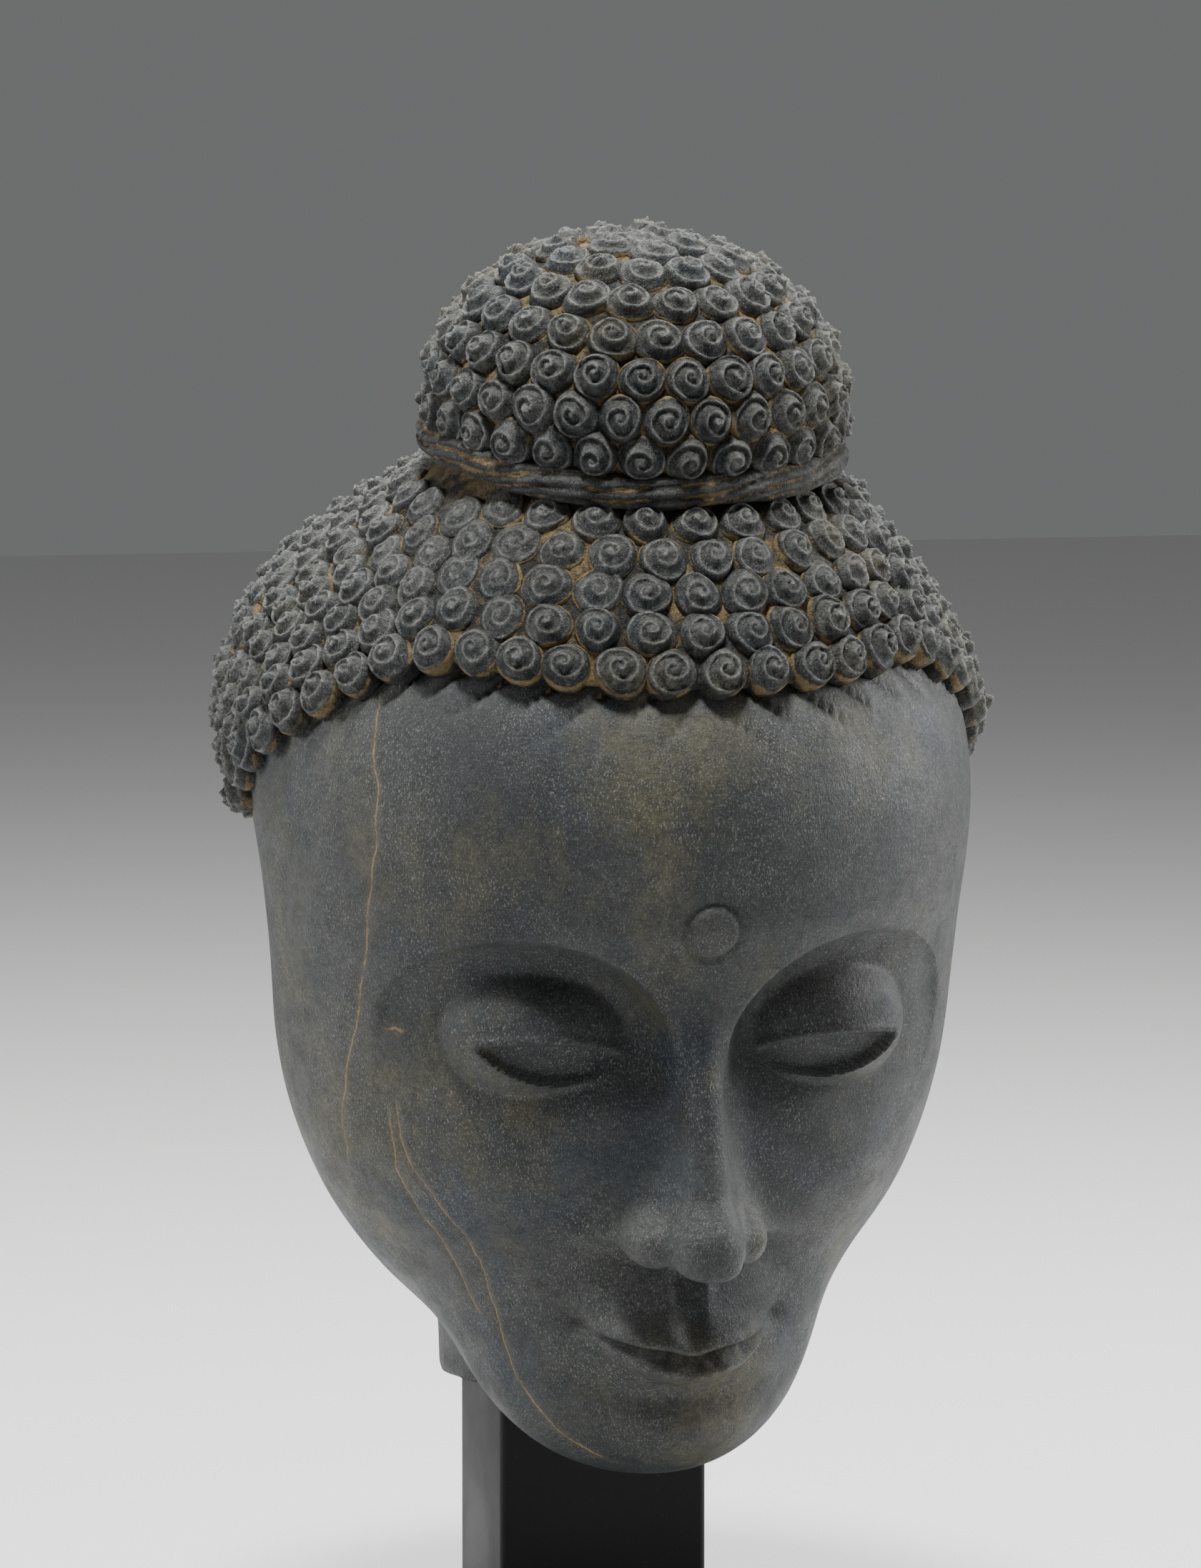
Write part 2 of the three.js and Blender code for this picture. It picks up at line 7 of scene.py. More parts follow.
import bpy
import numpy as np
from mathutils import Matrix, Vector


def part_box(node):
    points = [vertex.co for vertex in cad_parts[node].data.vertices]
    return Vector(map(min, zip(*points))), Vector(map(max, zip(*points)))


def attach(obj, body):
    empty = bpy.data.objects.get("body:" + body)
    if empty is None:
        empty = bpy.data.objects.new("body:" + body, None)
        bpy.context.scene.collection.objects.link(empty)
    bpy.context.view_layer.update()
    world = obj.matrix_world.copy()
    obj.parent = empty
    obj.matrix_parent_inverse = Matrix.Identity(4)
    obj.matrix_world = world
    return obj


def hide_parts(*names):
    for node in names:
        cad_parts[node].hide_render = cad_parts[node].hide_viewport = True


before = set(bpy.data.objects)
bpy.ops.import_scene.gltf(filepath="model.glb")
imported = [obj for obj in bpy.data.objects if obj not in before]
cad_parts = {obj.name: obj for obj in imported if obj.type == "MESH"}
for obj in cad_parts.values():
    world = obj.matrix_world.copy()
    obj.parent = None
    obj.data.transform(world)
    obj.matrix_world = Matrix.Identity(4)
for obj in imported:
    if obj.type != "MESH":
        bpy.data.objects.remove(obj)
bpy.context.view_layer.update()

DEG = np.pi / 180

# ---------------------------------------------------------------- sizes, in millimetres
# The head is shaped upright, the chin's underside near z = 0 and the face towards -Y, then bowed and lifted.

CHIN_CLEARANCE = 100.0            # chin's lowest point over the ground
BOW, BOW_PIVOT_Z = 12 * DEG, 175.0
LIFT = CHIN_CLEARANCE + 16.3      # the bowed chin hangs 16.3 below the upright frame's zero
SEAT_Z, SEAT_FRONT = CHIN_CLEARANCE + 20, -8.0

SKULL = ((0, 12, 235), (129, 150, 92))
COLLAR = ((0, -13, 256), (104, 105, 100))
CURL_PITCH, FRONT_ROWS = 16.8, 5
ROW_STEP_FRONT, ROW_STEP = 13.2, 14.8
SKULL_CURL, KNOT_CURL = (8.45, 6.9), (8.35, 6.8)   # radius and height
HAIR_TOP, HAIR_FLAT, HAIR_END, HAIR_DROP, HAIR_POWER, HAIR_LOW = 292.5, 44 * DEG, 93 * DEG, 65.5, 1.55, 206.0
KNOT_CENTRE, KNOT_RADII = (0, -7, 358.5), (68, 68, 53.5)
KNOT_RINGS, KNOT_LOWEST, KNOT_STEP = 7, -4 * DEG, 13.8 * DEG
BAND_Z, BAND_RADIUS, BAND_THICK = 344.5, 68.0, 5.5

EYE_X, EYE_Z, EYE_HALF, LID = 47.5, 166.0, 24.5, 4.0
EYE_CENTRE, EYE_RADII = (EYE_X, -100, EYE_Z), (28, 22.5, 21)
BROW_X, BROW_Z, BROW_HALF, BROW_HEIGHT = 54.0, 163.0, 45.0, 41.0
NOSE_BASE, MOUTH_Z, MOUTH_HALF = 96.0, 64.0, 34.0
URNA_Z, URNA_RADIUS, URNA_HEIGHT = 211.0, 8.5, 2.3
FACE_END = 104 * DEG

RAY_LOW, RAY_HIGH, RAY_SWING, RAY_TIP = 92.0, 235.0, 100.0, 17 * DEG
RAY_FIRST = RAY_LOW - RAY_SWING * (np.pi / 2 - RAY_TIP)
RAY_LAST = RAY_HIGH + RAY_SWING * np.pi / 2


# ---------------------------------------------------------------- solid fields: negative inside, near distance outside

def ramp(low, high, v):
    """0 below low and 1 above high, 3t^2 - 2t^3 between them."""
    t = np.clip((v - low) / (high - low), 0, 1)
    return t * t * (3 - 2 * t)


def ball(p, centre, radii):
    """Ellipsoid: |q| (|q| - 1) / |q / radii|, with q the place over the radii."""
    q = (p - np.array(centre)) / np.array(radii)
    near = np.sqrt((q * q).sum(-1)) + 1e-9
    q = q / np.array(radii)
    return near * (near - 1) / (np.sqrt((q * q).sum(-1)) + 1e-9)


def rod(p, a, b, ra, rb):
    """Distance to the line from a to b, less a radius that runs from ra to rb."""
    a, b = np.array(a, float), np.array(b, float)
    t = np.clip((p - a) @ (b - a) / ((b - a) @ (b - a)), 0, 1)
    d = p - a - t[..., None] * (b - a)
    return np.sqrt((d * d).sum(-1)) - (ra + (rb - ra) * t)


def join(a, b, k):
    """Union of two fields with a fillet of about k."""
    h = np.clip(0.5 + 0.5 * (b - a) / k, 0, 1)
    return b * (1 - h) + a * h - k * h * (1 - h)


def both(a, b, k):
    """What is inside both fields, its edge softened over k."""
    return -join(-a, -b, k)


def swell(x, z, cx, cz, wx, wz):
    """Round swelling exp(-dx^2 - dz^2) about (cx, cz), as seen from the front."""
    return np.exp(-((x - cx) / wx) ** 2 - ((z - cz) / wz) ** 2)


def ground_height(p):
    """Height over the ground of an upright-frame point once the head is bowed and lifted."""
    return BOW_PIVOT_Z + p[..., 1] * np.sin(BOW) + (p[..., 2] - BOW_PIVOT_Z) * np.cos(BOW) + LIFT


def bald_head(p):
    """Cranium, face oval, chin and neck stump, joined with wide fillets. Against the width at the eyes, the face is
    about nine tenths at the nose's base, three quarters at the mouth and six tenths at the crease of the chin."""
    f = ball(p, (0, 12, 235), (123, 149, 91))
    f = join(f, ball(p, (0, -18, 156), (118, 114, 140)), 40)
    f = join(f, ball(p, (0, -80, 41), (54, 48, 41)), 36)
    neck = rod(p, (0, -14, -62), (0, 16, 105), 46, 54)
    return join(f, both(neck, SEAT_Z - 3 - ground_height(p), 4), 18)


def lid_cover(x, z):
    """1 on the lids and less in the half-closed almond between two arcs (1 - t^2)^n over and under the corners' line:
    0 in its middle, rising to 1 at its corners. Also gives the distance outside the almond."""
    t = (x - EYE_X) / EYE_HALF
    corner = EYE_Z - 3 + 2.2 * t
    spread = np.clip(1 - t * t, 0, 1)
    upper = corner + 5.6 * spread ** 0.75 * (1 - 0.15 * t)
    lower = corner - 8.2 * spread ** 0.85
    past = np.maximum(np.maximum(z - upper, lower - z), (np.abs(t) - 1) * EYE_HALF)
    return 1 - (1 - ramp(-1.5, 1.0, past)) * spread ** 0.4, past


def brow_hollow(x, z):
    """Depth under the brow's elliptic arc: crisp at the arc, 15 deep beside the nose, shallow outside, gone below."""
    inside = 1 - np.hypot((x - BROW_X) / BROW_HALF, (z - BROW_Z) / BROW_HEIGHT)
    depth = 15 - 12 * ramp(14, 96, x)
    return depth * ramp(136, 176, z) * (1 - np.exp(-np.clip(inside, 0, 1) * BROW_HEIGHT / 3.2))


def lips(x, z):
    """Two swellings sin(pi t^n) over and under a wavy parting line, with the groove and the dimpled corners."""
    s = np.clip(x / MOUTH_HALF, 0, 1)
    line = MOUTH_Z - 1.9 * np.exp(-(x / 6.5) ** 2) + 3.4 * s ** 3
    upper = 11 * np.clip(1 - s * s, 0, 1) ** 0.85 - 2.4 * np.exp(-(x / 4.5) ** 2)
    lower = 13.5 * np.clip(1 - (x / 31) ** 2, 0, 1) ** 0.75
    up = np.clip((z - line) / np.maximum(upper, 0.8), 0, 1)
    down = np.clip((line - z) / np.maximum(lower, 0.8), 0, 1)
    out = 6.0 * np.clip(upper / 9, 0, 1) * np.sin(np.pi * up ** 0.65)
    out += 7.8 * np.clip(lower / 12, 0, 1) * np.sin(np.pi * down ** 0.72)
    out += 1.1 * np.clip(upper / 9, 0, 1) ** 0.5 * np.exp(-((z - line - upper) / 1.3) ** 2) * (1 - ramp(26, 33, x))
    out -= 1.9 * np.exp(-((z - line) / 1.6) ** 2) * (1 - ramp(MOUTH_HALF - 4, MOUTH_HALF + 3, x))
    return out - 3.0 * np.exp(-((x - MOUTH_HALF - 0.5) ** 2 + (z - MOUTH_Z - 3.2) ** 2) / 26)


def modelling(p):
    """How far the features stand out of the bald head, a sum of swellings and hollows read from the front."""
    x, z = np.abs(p[..., 0]), p[..., 2]
    out = lips(x, z) + 15 * swell(x, z, 0, 64, 44, 30) + 5 * swell(x, z, 60, 112, 30, 30)
    out += 9 * swell(x, z, 0, 24, 30, 18) - 5.4 * swell(x, z, 0, 45, 27, 7.5)
    out += 1.2 * swell(x, z, 7, 84, 2.6, 9) - 1.9 * swell(x, z, 0, 85, 3.6, 9)
    fold = x - 27 - (100 - z) * 0.5
    out -= 1.3 * np.exp(-(fold / 7) ** 2) * ramp(58, 76, z) * (1 - ramp(84, 108, z))
    out += 1.6 * swell(x, z, 40, 213, 36, 9) - brow_hollow(x, z)
    r = np.hypot(x, z - URNA_Z)
    out += URNA_HEIGHT * (1 - ramp(URNA_RADIUS - 1, URNA_RADIUS + 0.8, r)) * (1 - 0.12 * (r / URNA_RADIUS) ** 2)
    out -= 0.9 * np.exp(-((r - URNA_RADIUS - 1.3) / 1.0) ** 2)
    return out * ramp(40, 80, -p[..., 1])


def nose(p):
    """Rounded wedge that widens downwards, with its tip, wings and bridge between the nostrils joined on."""
    x, y, z = np.abs(p[..., 0]), p[..., 1], p[..., 2]
    m = np.stack([x, y, z], -1)
    down = np.clip((192 - z) / 84, 0, 1.1)
    behind = 122 + 33 * down + y
    rounding = 6.8 + 2.2 * down ** 2
    flare = 0.42 + 0.22 * down ** 2
    side = (x - rounding - flare * np.clip(behind, 0, 45)) / np.sqrt(1 + flare ** 2)
    f = np.where(behind > 0, side, np.hypot(x, behind) - rounding)
    f = both(both(f, z - 198, 10), NOSE_BASE + 3 - z, 5)
    f = join(both(f, y + 80, 5), ball(p, (0, -156, 108), (11.6, 13, 11)), 7)
    f = join(f, ball(m, (15.6, -140, 104.5), (8.5, 13, 9.2)), 5)
    f = join(f, rod(p, (0, -154, 101), (0, -132, 96), 4.6, 5.5), 4)
    return both(f, -ball(m, (8.9, -148, 94.5), (4.4, 8.5, 5.2)), 2.5)


def skin(p):
    """The bald head with its modelling, nose and eyes; a lid is the eyeball's own form raised by its thickness."""
    m = np.stack([np.abs(p[..., 0]), p[..., 1], p[..., 2]], -1)
    cover, past = lid_cover(m[..., 0], m[..., 2])
    above = ramp(EYE_Z - 6, EYE_Z, m[..., 2])
    rim = (1.5 - 0.5 * above) * np.exp(-((past - 1.5) / 1.3) ** 2)
    eyes = ball(m, EYE_CENTRE, EYE_RADII) - LID * cover - rim
    return join(join(bald_head(p) - modelling(p), nose(p), 7), eyes, 2.2)


def scalp(p):
    """The stone under the curls: the skull, rising in a collar to the topknot."""
    return join(ball(p, *SKULL), ball(p, *COLLAR), 14)


# ---------------------------------------------------------------- rays and surfaces

def rays(turn, s):
    """Roots and directions of rays off the head's axis. s slides the root up the axis between RAY_LOW and RAY_HIGH;
    past either end it swings the ray to straight down or up. Below the eyes the rays dip, to look under the nose."""
    turn, s = np.broadcast_arrays(np.asarray(turn, float), np.asarray(s, float))
    root = np.clip(s, RAY_LOW, RAY_HIGH)
    dip = -RAY_TIP * (1 - ramp(150, 215, root))
    lift = dip + (np.minimum(s - RAY_LOW, 0) + np.maximum(s - RAY_HIGH, 0)) / RAY_SWING
    roots = np.stack([0 * root, 0 * root, root], -1)
    ways = np.stack([np.sin(turn) * np.cos(lift), -np.cos(turn) * np.cos(lift), np.sin(lift)], -1)
    return roots, ways


def reach(field, roots, ways):
    """Distance along each ray to the field's outermost crossing: walk in from outside by half the field's value,
    then halve the last step."""
    shape = roots.shape[:-1]
    roots, ways = roots.reshape(-1, 3), ways.reshape(-1, 3)
    r = np.full(len(roots), 210.0)
    todo = np.arange(len(roots))
    while todo.size:
        v = field(roots[todo] + ways[todo] * r[todo, None])
        todo, v = todo[v > 0], v[v > 0]
        r[todo] -= np.clip(v / 2, 0.4, 6)
        todo = todo[r[todo] > 20]
    inner, outer = r.copy(), r + 6
    for _ in range(14):
        middle = (inner + outer) / 2
        inside = field(roots + ways * middle[:, None]) < 0
        inner, outer = np.where(inside, middle, inner), np.where(inside, outer, middle)
    return inner.reshape(shape)


def surface(field, turn, s, out=0.0):
    """Points where the rays (turn, s) leave the field, moved out along them."""
    roots, ways = rays(turn, s)
    return roots + ways * (reach(field, roots, ways) + out)[..., None]


def outward(field, p):
    """Unit normal of a field at p: its slope, by central differences."""
    step = np.eye(3) * 0.5
    n = np.stack([field(p + step[i]) - field(p - step[i]) for i in range(3)], -1)
    return n / np.linalg.norm(n, axis=-1, keepdims=True)


def bend(turn):
    """Azimuth folded to 0..180 degrees from the face."""
    return np.abs(np.arctan2(np.sin(turn), np.cos(turn)))


def first_row_height(turn):
    """Height of the lowest row of curls: level over the forehead, falling as a power past the temples, level behind."""
    past = np.clip((bend(turn) - HAIR_FLAT) / (HAIR_END - HAIR_FLAT), 0, 1.4)
    return np.maximum(HAIR_TOP - HAIR_DROP * past ** HAIR_POWER, HAIR_LOW)


def place_where(turn, passed):
    """s at which the scalp at azimuth turn first passes a test that stays true further up, by halving."""
    low, high = np.full(np.shape(turn), RAY_LOW), np.full(np.shape(turn), RAY_HIGH + RAY_SWING)
    for _ in range(18):
        middle = (low + high) / 2
        yes = passed(surface(scalp, turn, middle))
        low, high = np.where(yes, low, middle), np.where(yes, middle, high)
    return low


def place_at_height(turn, z):
    """s at which the scalp at azimuth turn reaches height z."""
    return place_where(turn, lambda p: p[..., 2] > z)


def place_at_band(turn):
    """s at which the scalp at azimuth turn meets the band round the topknot's foot."""
    return place_where(turn, lambda p: np.hypot(p[..., 0], p[..., 1] - KNOT_CENTRE[1]) < BAND_RADIUS + BAND_THICK / 2)


# ---------------------------------------------------------------- where the curls sit

def meridians():
    """For azimuths every 2 degrees from face to nape: s at 48 steps from the first row to the band, and the length
    of scalp walked to each."""
    turn = np.arange(0, 181, 2) * DEG
    first, last = place_at_height(turn, first_row_height(turn)), place_at_band(turn)
    s = first[:, None] + (last - first)[:, None] * np.linspace(0, 1, 49)
    p = surface(scalp, turn[:, None], s)
    step = np.linalg.norm(np.diff(p, axis=1), axis=-1)
    return turn, s, np.concatenate([np.zeros((len(turn), 1)), np.cumsum(step, 1)], 1)


MERIDIAN_TURN, MERIDIAN_S, MERIDIAN_LENGTH = meridians()


def climb_length(turn):
    """Length of scalp from the first row to the band at azimuth turn."""
    return np.interp(bend(turn), MERIDIAN_TURN, MERIDIAN_LENGTH[:, -1])


def climb(turn, length):
    """s at a length up the meridian at azimuth turn, read between the two nearest stored ones."""
    at = np.clip(bend(turn) / (2 * DEG), 0, len(MERIDIAN_TURN) - 1.001)
    left = at.astype(int)
    below, above = (
        np.array([np.interp(a, MERIDIAN_LENGTH[i], MERIDIAN_S[i]) for a, i in zip(length, left + k)]) for k in (0, 1)
    )
    return below * (left + 1 - at) + above * (at - left)


def row_step(turn):
    """Distance between rows up the scalp: closer over the forehead."""
    return ROW_STEP_FRONT + (ROW_STEP - ROW_STEP_FRONT) * ramp(40 * DEG, 90 * DEG, bend(turn))


def curl_row(length, keep, phase):
    """(turn, s) of curls at even steps of CURL_PITCH round one row, whose length up the scalp is a function of turn."""
    turn = np.arange(-360, 360) * 0.5 * DEG
    s = climb(turn, length(turn))
    p = surface(scalp, turn, s)
    walked = np.concatenate([[0], np.cumsum(np.linalg.norm(np.diff(p, axis=0), axis=1))]) + phase * CURL_PITCH
    at = np.searchsorted(walked, np.arange(1, int(walked[-1] / CURL_PITCH) + 1) * CURL_PITCH)
    at = at[at < len(turn)]
    at = at[keep(turn[at])]
    return np.stack([turn[at], s[at]], -1)


def skull_curls():
    """All the skull's curls: rows along the hairline, then rings round the topknot that fill the sides and back."""
    rows = [curl_row(lambda t: row * row_step(t), lambda t: t == t, row % 2 / 2) for row in range(FRONT_ROWS)]
    for ring in range(12):
        def length(t):
            return climb_length(t) - (ring + 0.5) * ROW_STEP
        rows.append(curl_row(length, lambda t: length(t) > (FRONT_ROWS - 0.38) * row_step(t), ring % 2 / 2))
    return np.concatenate(rows)


# ---------------------------------------------------------------- unevenness, placing and mesh building

LATTICE = np.random.default_rng(7).random((24, 24, 24))


def grain(p, size, offset=0.0):
    """Smooth noise in -1..1 with lumps of about size: a random lattice read with eased linear weights."""
    q = p / size + offset
    cell = np.floor(q).astype(int)
    t = q - cell
    t = t * t * (3 - 2 * t)
    value = 0.0
    for corner in np.ndindex(2, 2, 2):
        weight = np.prod(np.where(corner, t, 1 - t), -1)
        i, j, k = np.moveaxis((cell + corner) % 24, -1, 0)
        value = value + weight * LATTICE[i, j, k]
    return 2 * value - 1


def placed(p):
    """Upright-frame points, bowed forward about the pivot, lifted over the mount, and in metres."""
    y, z = p[..., 1], p[..., 2] - BOW_PIVOT_Z
    bowed = [p[..., 0], y * np.cos(BOW) - z * np.sin(BOW), BOW_PIVOT_Z + LIFT + y * np.sin(BOW) + z * np.cos(BOW)]
    return np.stack(bowed, -1) / 1000


def spaced(low, high, gap):
    """Values from low to high whose spacing at v is gap(v): the running sum of 1 / gap, read backwards."""
    v = np.linspace(low, high, 6000)
    count = np.concatenate([[0], np.cumsum(1 / gap((v[1:] + v[:-1]) / 2)) * (v[1] - v[0])])
    return np.interp(np.linspace(0, count[-1], int(count[-1]) + 1), count, v)


def wrapped(rows, columns):
    """Faces of a grid that closes round, rows from bottom to top, with fans to the bottom and top points after it."""
    i, j = np.meshgrid(np.arange(rows - 1), np.arange(columns), indexing="ij")
    k = (j + 1) % columns
    low, high = i * columns, (i + 1) * columns
    quads = np.stack([low + j, low + k, high + k, high + j], -1).reshape(-1, 4)
    j = np.arange(columns)
    k, last = (j + 1) % columns, (rows - 1) * columns
    bottom = np.stack([k, j, 0 * j + rows * columns], -1)
    top = np.stack([last + j, last + k, 0 * j + rows * columns + 1], -1)
    return quads, np.concatenate([bottom, top])


def add_mesh(name, points, quads, triangles, slot, material, replaced, **attributes):
    """A smooth mesh object from points in metres, with its finish and per-point attributes, on the frame."""
    mesh = bpy.data.meshes.new(name)
    corners = np.concatenate([quads.ravel(), triangles.ravel()]).astype(np.int32)
    starts = np.concatenate([4 * np.arange(len(quads)), 4 * len(quads) + 3 * np.arange(len(triangles))])
    mesh.vertices.add(len(points))
    mesh.vertices.foreach_set("co", points.astype(np.float32).ravel())
    mesh.loops.add(len(corners))
    mesh.loops.foreach_set("vertex_index", corners)
    mesh.polygons.add(len(starts))
    mesh.polygons.foreach_set("loop_start", starts.astype(np.int32))
    mesh.update(calc_edges=True)
    mesh.shade_smooth()
    for key, values in attributes.items():
        kind = "FLOAT" if values.ndim == 1 else "FLOAT_VECTOR"
        layer = mesh.attributes.new(key, kind, "POINT")
        layer.data.foreach_set("value" if values.ndim == 1 else "vector", values.astype(np.float32).ravel())
    mesh.materials.append(material)
    piece = bpy.data.objects.new(name, mesh)
    bpy.context.collection.objects.link(piece)
    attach(piece, "root")
    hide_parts(replaced)
    return piece


def closed_grid(grid, bottom, top):
    """Points of a grid with its bottom and top points put after them."""
    return np.concatenate([grid.reshape(-1, 3), np.array([bottom, top], float)])


# ---------------------------------------------------------------- materials

class Shader:
    """A node tree of one material, written as nested calls: every call adds a node and returns its output."""

    def __init__(self, name):
        self.material = bpy.data.materials.new(name)
        self.material.use_nodes = True
        self.tree = self.material.node_tree
        self.surface = self.tree.nodes["Principled BSDF"]

    def add(self, kind, inputs, output=0, **settings):
        node = self.tree.nodes.new(kind)
        for key, value in settings.items():
            setattr(node, key, value)
        for key, value in inputs.items():
            self.feed(node.inputs[key], value)
        return node.outputs[output]

    def feed(self, socket, value):
        if isinstance(value, bpy.types.NodeSocket):
            self.tree.links.new(value, socket)
        elif value is not None:
            socket.default_value = (*value, 1) if socket.type == "RGBA" else value

    def place(self, stretch=(1, 1, 1)):
        """Object coordinates, in metres, times stretch."""
        coords = self.add("ShaderNodeTexCoord", {}, "Object")
        return self.add("ShaderNodeVectorMath", {0: coords, 1: stretch}, operation="MULTIPLY")

    def noise(self, at, scale, detail=4.0, roughness=0.55):
        return self.add("ShaderNodeTexNoise", {"Vector": at, "Scale": scale, "Detail": detail, "Roughness": roughness})

    def step(self, value, low, high, to_low=0.0, to_high=1.0):
        """Smooth step of value between low and high."""
        return self.add(
            "ShaderNodeMapRange",
            {"Value": value, "From Min": low, "From Max": high, "To Min": to_low, "To Max": to_high},
            interpolation_type="SMOOTHSTEP",
        )

    def math(self, operation, a, b=0.0):
        return self.add("ShaderNodeMath", {0: a, 1: b}, operation=operation)

    def mix(self, amount, a, b):
        return self.add("ShaderNodeMix", {0: amount, 6: a, 7: b}, 2, data_type="RGBA")

    def attribute(self, name, output="Fac"):
        return self.add("ShaderNodeAttribute", {}, output, attribute_name=name)

    def finish(self, color, roughness, height, distance, gloss=0.5):
        """Joins colour, roughness and a bump of the given depth to the surface, whose mirror strength is gloss."""
        self.surface.inputs["Specular IOR Level"].default_value = gloss
        bump = self.add("ShaderNodeBump", {"Height": height, "Strength": 1.0, "Distance": distance})
        for key, value in {"Base Color": color, "Roughness": roughness, "Normal": bump}.items():
            self.feed(self.surface.inputs[key], value)
        return self.material


def schist(name, dark, pale, polish, tooth_depth, dirt, pale_upward, gritty, veins=()):
    """Fine dark schist: slate-blue and olive clouds over grey, small pale flecks drawn out upwards, paler patches on
    what faces up, ochre soil, rubbed crests, and veins of the same ochre. Where soil is high the grey is also darkened
    towards black as painted shade, and where worn is high it is lightened as rubbed stone and as painted
    highlights on the crests.

    dark and pale are the ends of its grey, polish lowers its roughness, tooth_depth is the bump's, dirt says how
    readily soil shows, pale_upward how pale the patches are on what faces up, and gritty how dark the small pits are."""
    s = Shader(name)
    cloud = s.noise(s.place(), 11.0, 6.0, 0.62)
    color = s.mix(s.step(cloud, 0.34, 0.66), dark, pale)
    slate = s.noise(s.place((1.0, 1.0, 0.8)), 23.0, 6.0, 0.66)
    color = s.mix(s.step(slate, 0.50, 0.70, 0.0, 0.75), color, [dark[0] * 0.62, dark[1] * 1.06, dark[2] * 1.65])
    olive = s.noise(s.place((1.0, 1.0, 0.7)), 16.5, 7.0, 0.68)
    color = s.mix(s.step(olive, 0.49, 0.68, 0.0, 0.72), color, [pale[0] * 1.75, pale[1] * 1.45, pale[2] * 0.78])
    mottle = s.noise(s.place(), 210.0, 6.0, 0.72)
    color = s.mix(s.step(mottle, 0.40, 0.66, 0.0, 0.55), color, [dark[0] * 0.55, dark[1] * 0.56, dark[2] * 0.60])
    pits = s.step(s.noise(s.place(), 540.0, 4.0, 0.75), 0.47, 0.60, 0.0, gritty)
    color = s.mix(pits, color, [dark[0] * 0.35, dark[1] * 0.36, dark[2] * 0.38])
    fleck = s.noise(s.place((1.0, 1.0, 0.45)), 2100.0, 2.0, 0.60)
    drift = s.step(s.noise(s.place(), 34.0, 3.0), 0.35, 0.65, 0.35, 1.0)
    flecks = s.math("MULTIPLY", s.step(fleck, 0.54, 0.70), drift)
    color = s.mix(s.math("MULTIPLY", flecks, 0.60), color, [0.205, 0.207, 0.192])
    specks = s.step(s.noise(s.place(), 2600.0, 1.0, 0.5), 0.60, 0.70, 0.0, 0.35)
    color = s.mix(specks, color, [0.150, 0.148, 0.135])
    # Paler, in patches, on surfaces that face up.
    upward = s.add("ShaderNodeSeparateXYZ", {0: s.add("ShaderNodeTexCoord", {}, "Normal")}, "Z")
    in_patches = s.step(s.noise(s.place(), 520.0, 4.0, 0.7), 0.36, 0.62)
    pale_patches = s.math("MULTIPLY", s.step(upward, 0.05, 0.95, 0.0, pale_upward), in_patches)
    color = s.mix(pale_patches, color, [0.142, 0.139, 0.118])
    grit = s.step(s.noise(s.place(), 620.0, 5.0, 0.72), 0.36, 0.60, 0.35, 1.0)
    # worn lightens the grey, broken up by grit: rubbed stone, and painted highlights on curl lips, knobs and strand
    # ridges.
    color = s.mix(s.math("MULTIPLY", s.math("MULTIPLY", s.attribute("worn"), grit), 0.85), color, [0.240, 0.243, 0.230])
    # Painted shade: the grey is darkened towards black where soil is high, in valleys, round curl rims, in recesses and
    # under the hairline.
    color = s.mix(s.step(s.attribute("soil"), 0.20, 0.85, 0.0, 0.70), color, [0.010, 0.010, 0.009])
    soil_noise = s.noise(s.place(), 150.0, 7.0, 0.75)
    soil = s.math("ADD", s.attribute("soil"), s.math("MULTIPLY", s.math("SUBTRACT", soil_noise, 0.5), 2.2))
    soil = s.step(soil, 1.05 - dirt, 1.50 - dirt, 0.0, 0.80)
    color = s.mix(soil, color, s.mix(s.noise(s.place(), 330.0, 5.0), [0.095, 0.069, 0.031], [0.285, 0.208, 0.102]))
    pale_line = None
    wander = s.math("MULTIPLY", s.math("SUBTRACT", s.noise(s.place(), 330.0, 5.0, 0.75), 0.5), 2.2)
    broken_up = s.step(s.noise(s.place(), 150.0, 5.0, 0.7), 0.34, 0.56, 0.10, 1.0)
    for key in veins:
        across, along, _ = s.add("ShaderNodeSeparateXYZ", {0: s.attribute(key, "Vector")}).node.outputs
        off = s.math("ABSOLUTE", s.math("ADD", across, wander))
        line = s.math("MULTIPLY", s.math("MULTIPLY", s.step(off, 0.06, 0.46, 1.0, 0.0), along), broken_up)
        halo = s.math("MULTIPLY", s.step(off, 0.4, 2.6, 0.30, 0.0), along)
        color = s.mix(halo, color, [0.085, 0.070, 0.045])
        color = s.mix(line, color, [0.195, 0.138, 0.072])
        pale_line = line if pale_line is None else s.math("MAXIMUM", pale_line, line)
    roughness = s.step(s.noise(s.place(), 70.0, 6.0, 0.7), 0.3, 0.7, 0.62 - polish, 0.80 - polish)
    roughness = s.math("MAXIMUM", roughness, s.math("MULTIPLY", soil, 0.95))
    tooth = s.math("SUBTRACT", s.math("ADD", s.math("MULTIPLY", fleck, 0.55), mottle), s.math("MULTIPLY", pits, 0.35))
    tooth = s.math("ADD", tooth, s.math("MULTIPLY", s.noise(s.place(), 760.0, 3.0, 0.6), 0.6))
    tooth = s.math("ADD", tooth, s.math("MULTIPLY", s.noise(s.place(), 3000.0, 2.0), 0.30))
    if pale_line is not None:
        tooth = s.math("SUBTRACT", tooth, s.math("MULTIPLY", pale_line, 0.6))
    coarse = s.math("ADD", s.noise(s.place((1.0, 1.0, 1.6)), 95.0, 8.0, 0.75), tooth)
    tooth = s.math("ADD", tooth, s.math("MULTIPLY", s.math("MULTIPLY", s.attribute("broken"), 3.0), coarse))
    return s.finish(color, roughness, tooth, tooth_depth, 0.12 + polish)


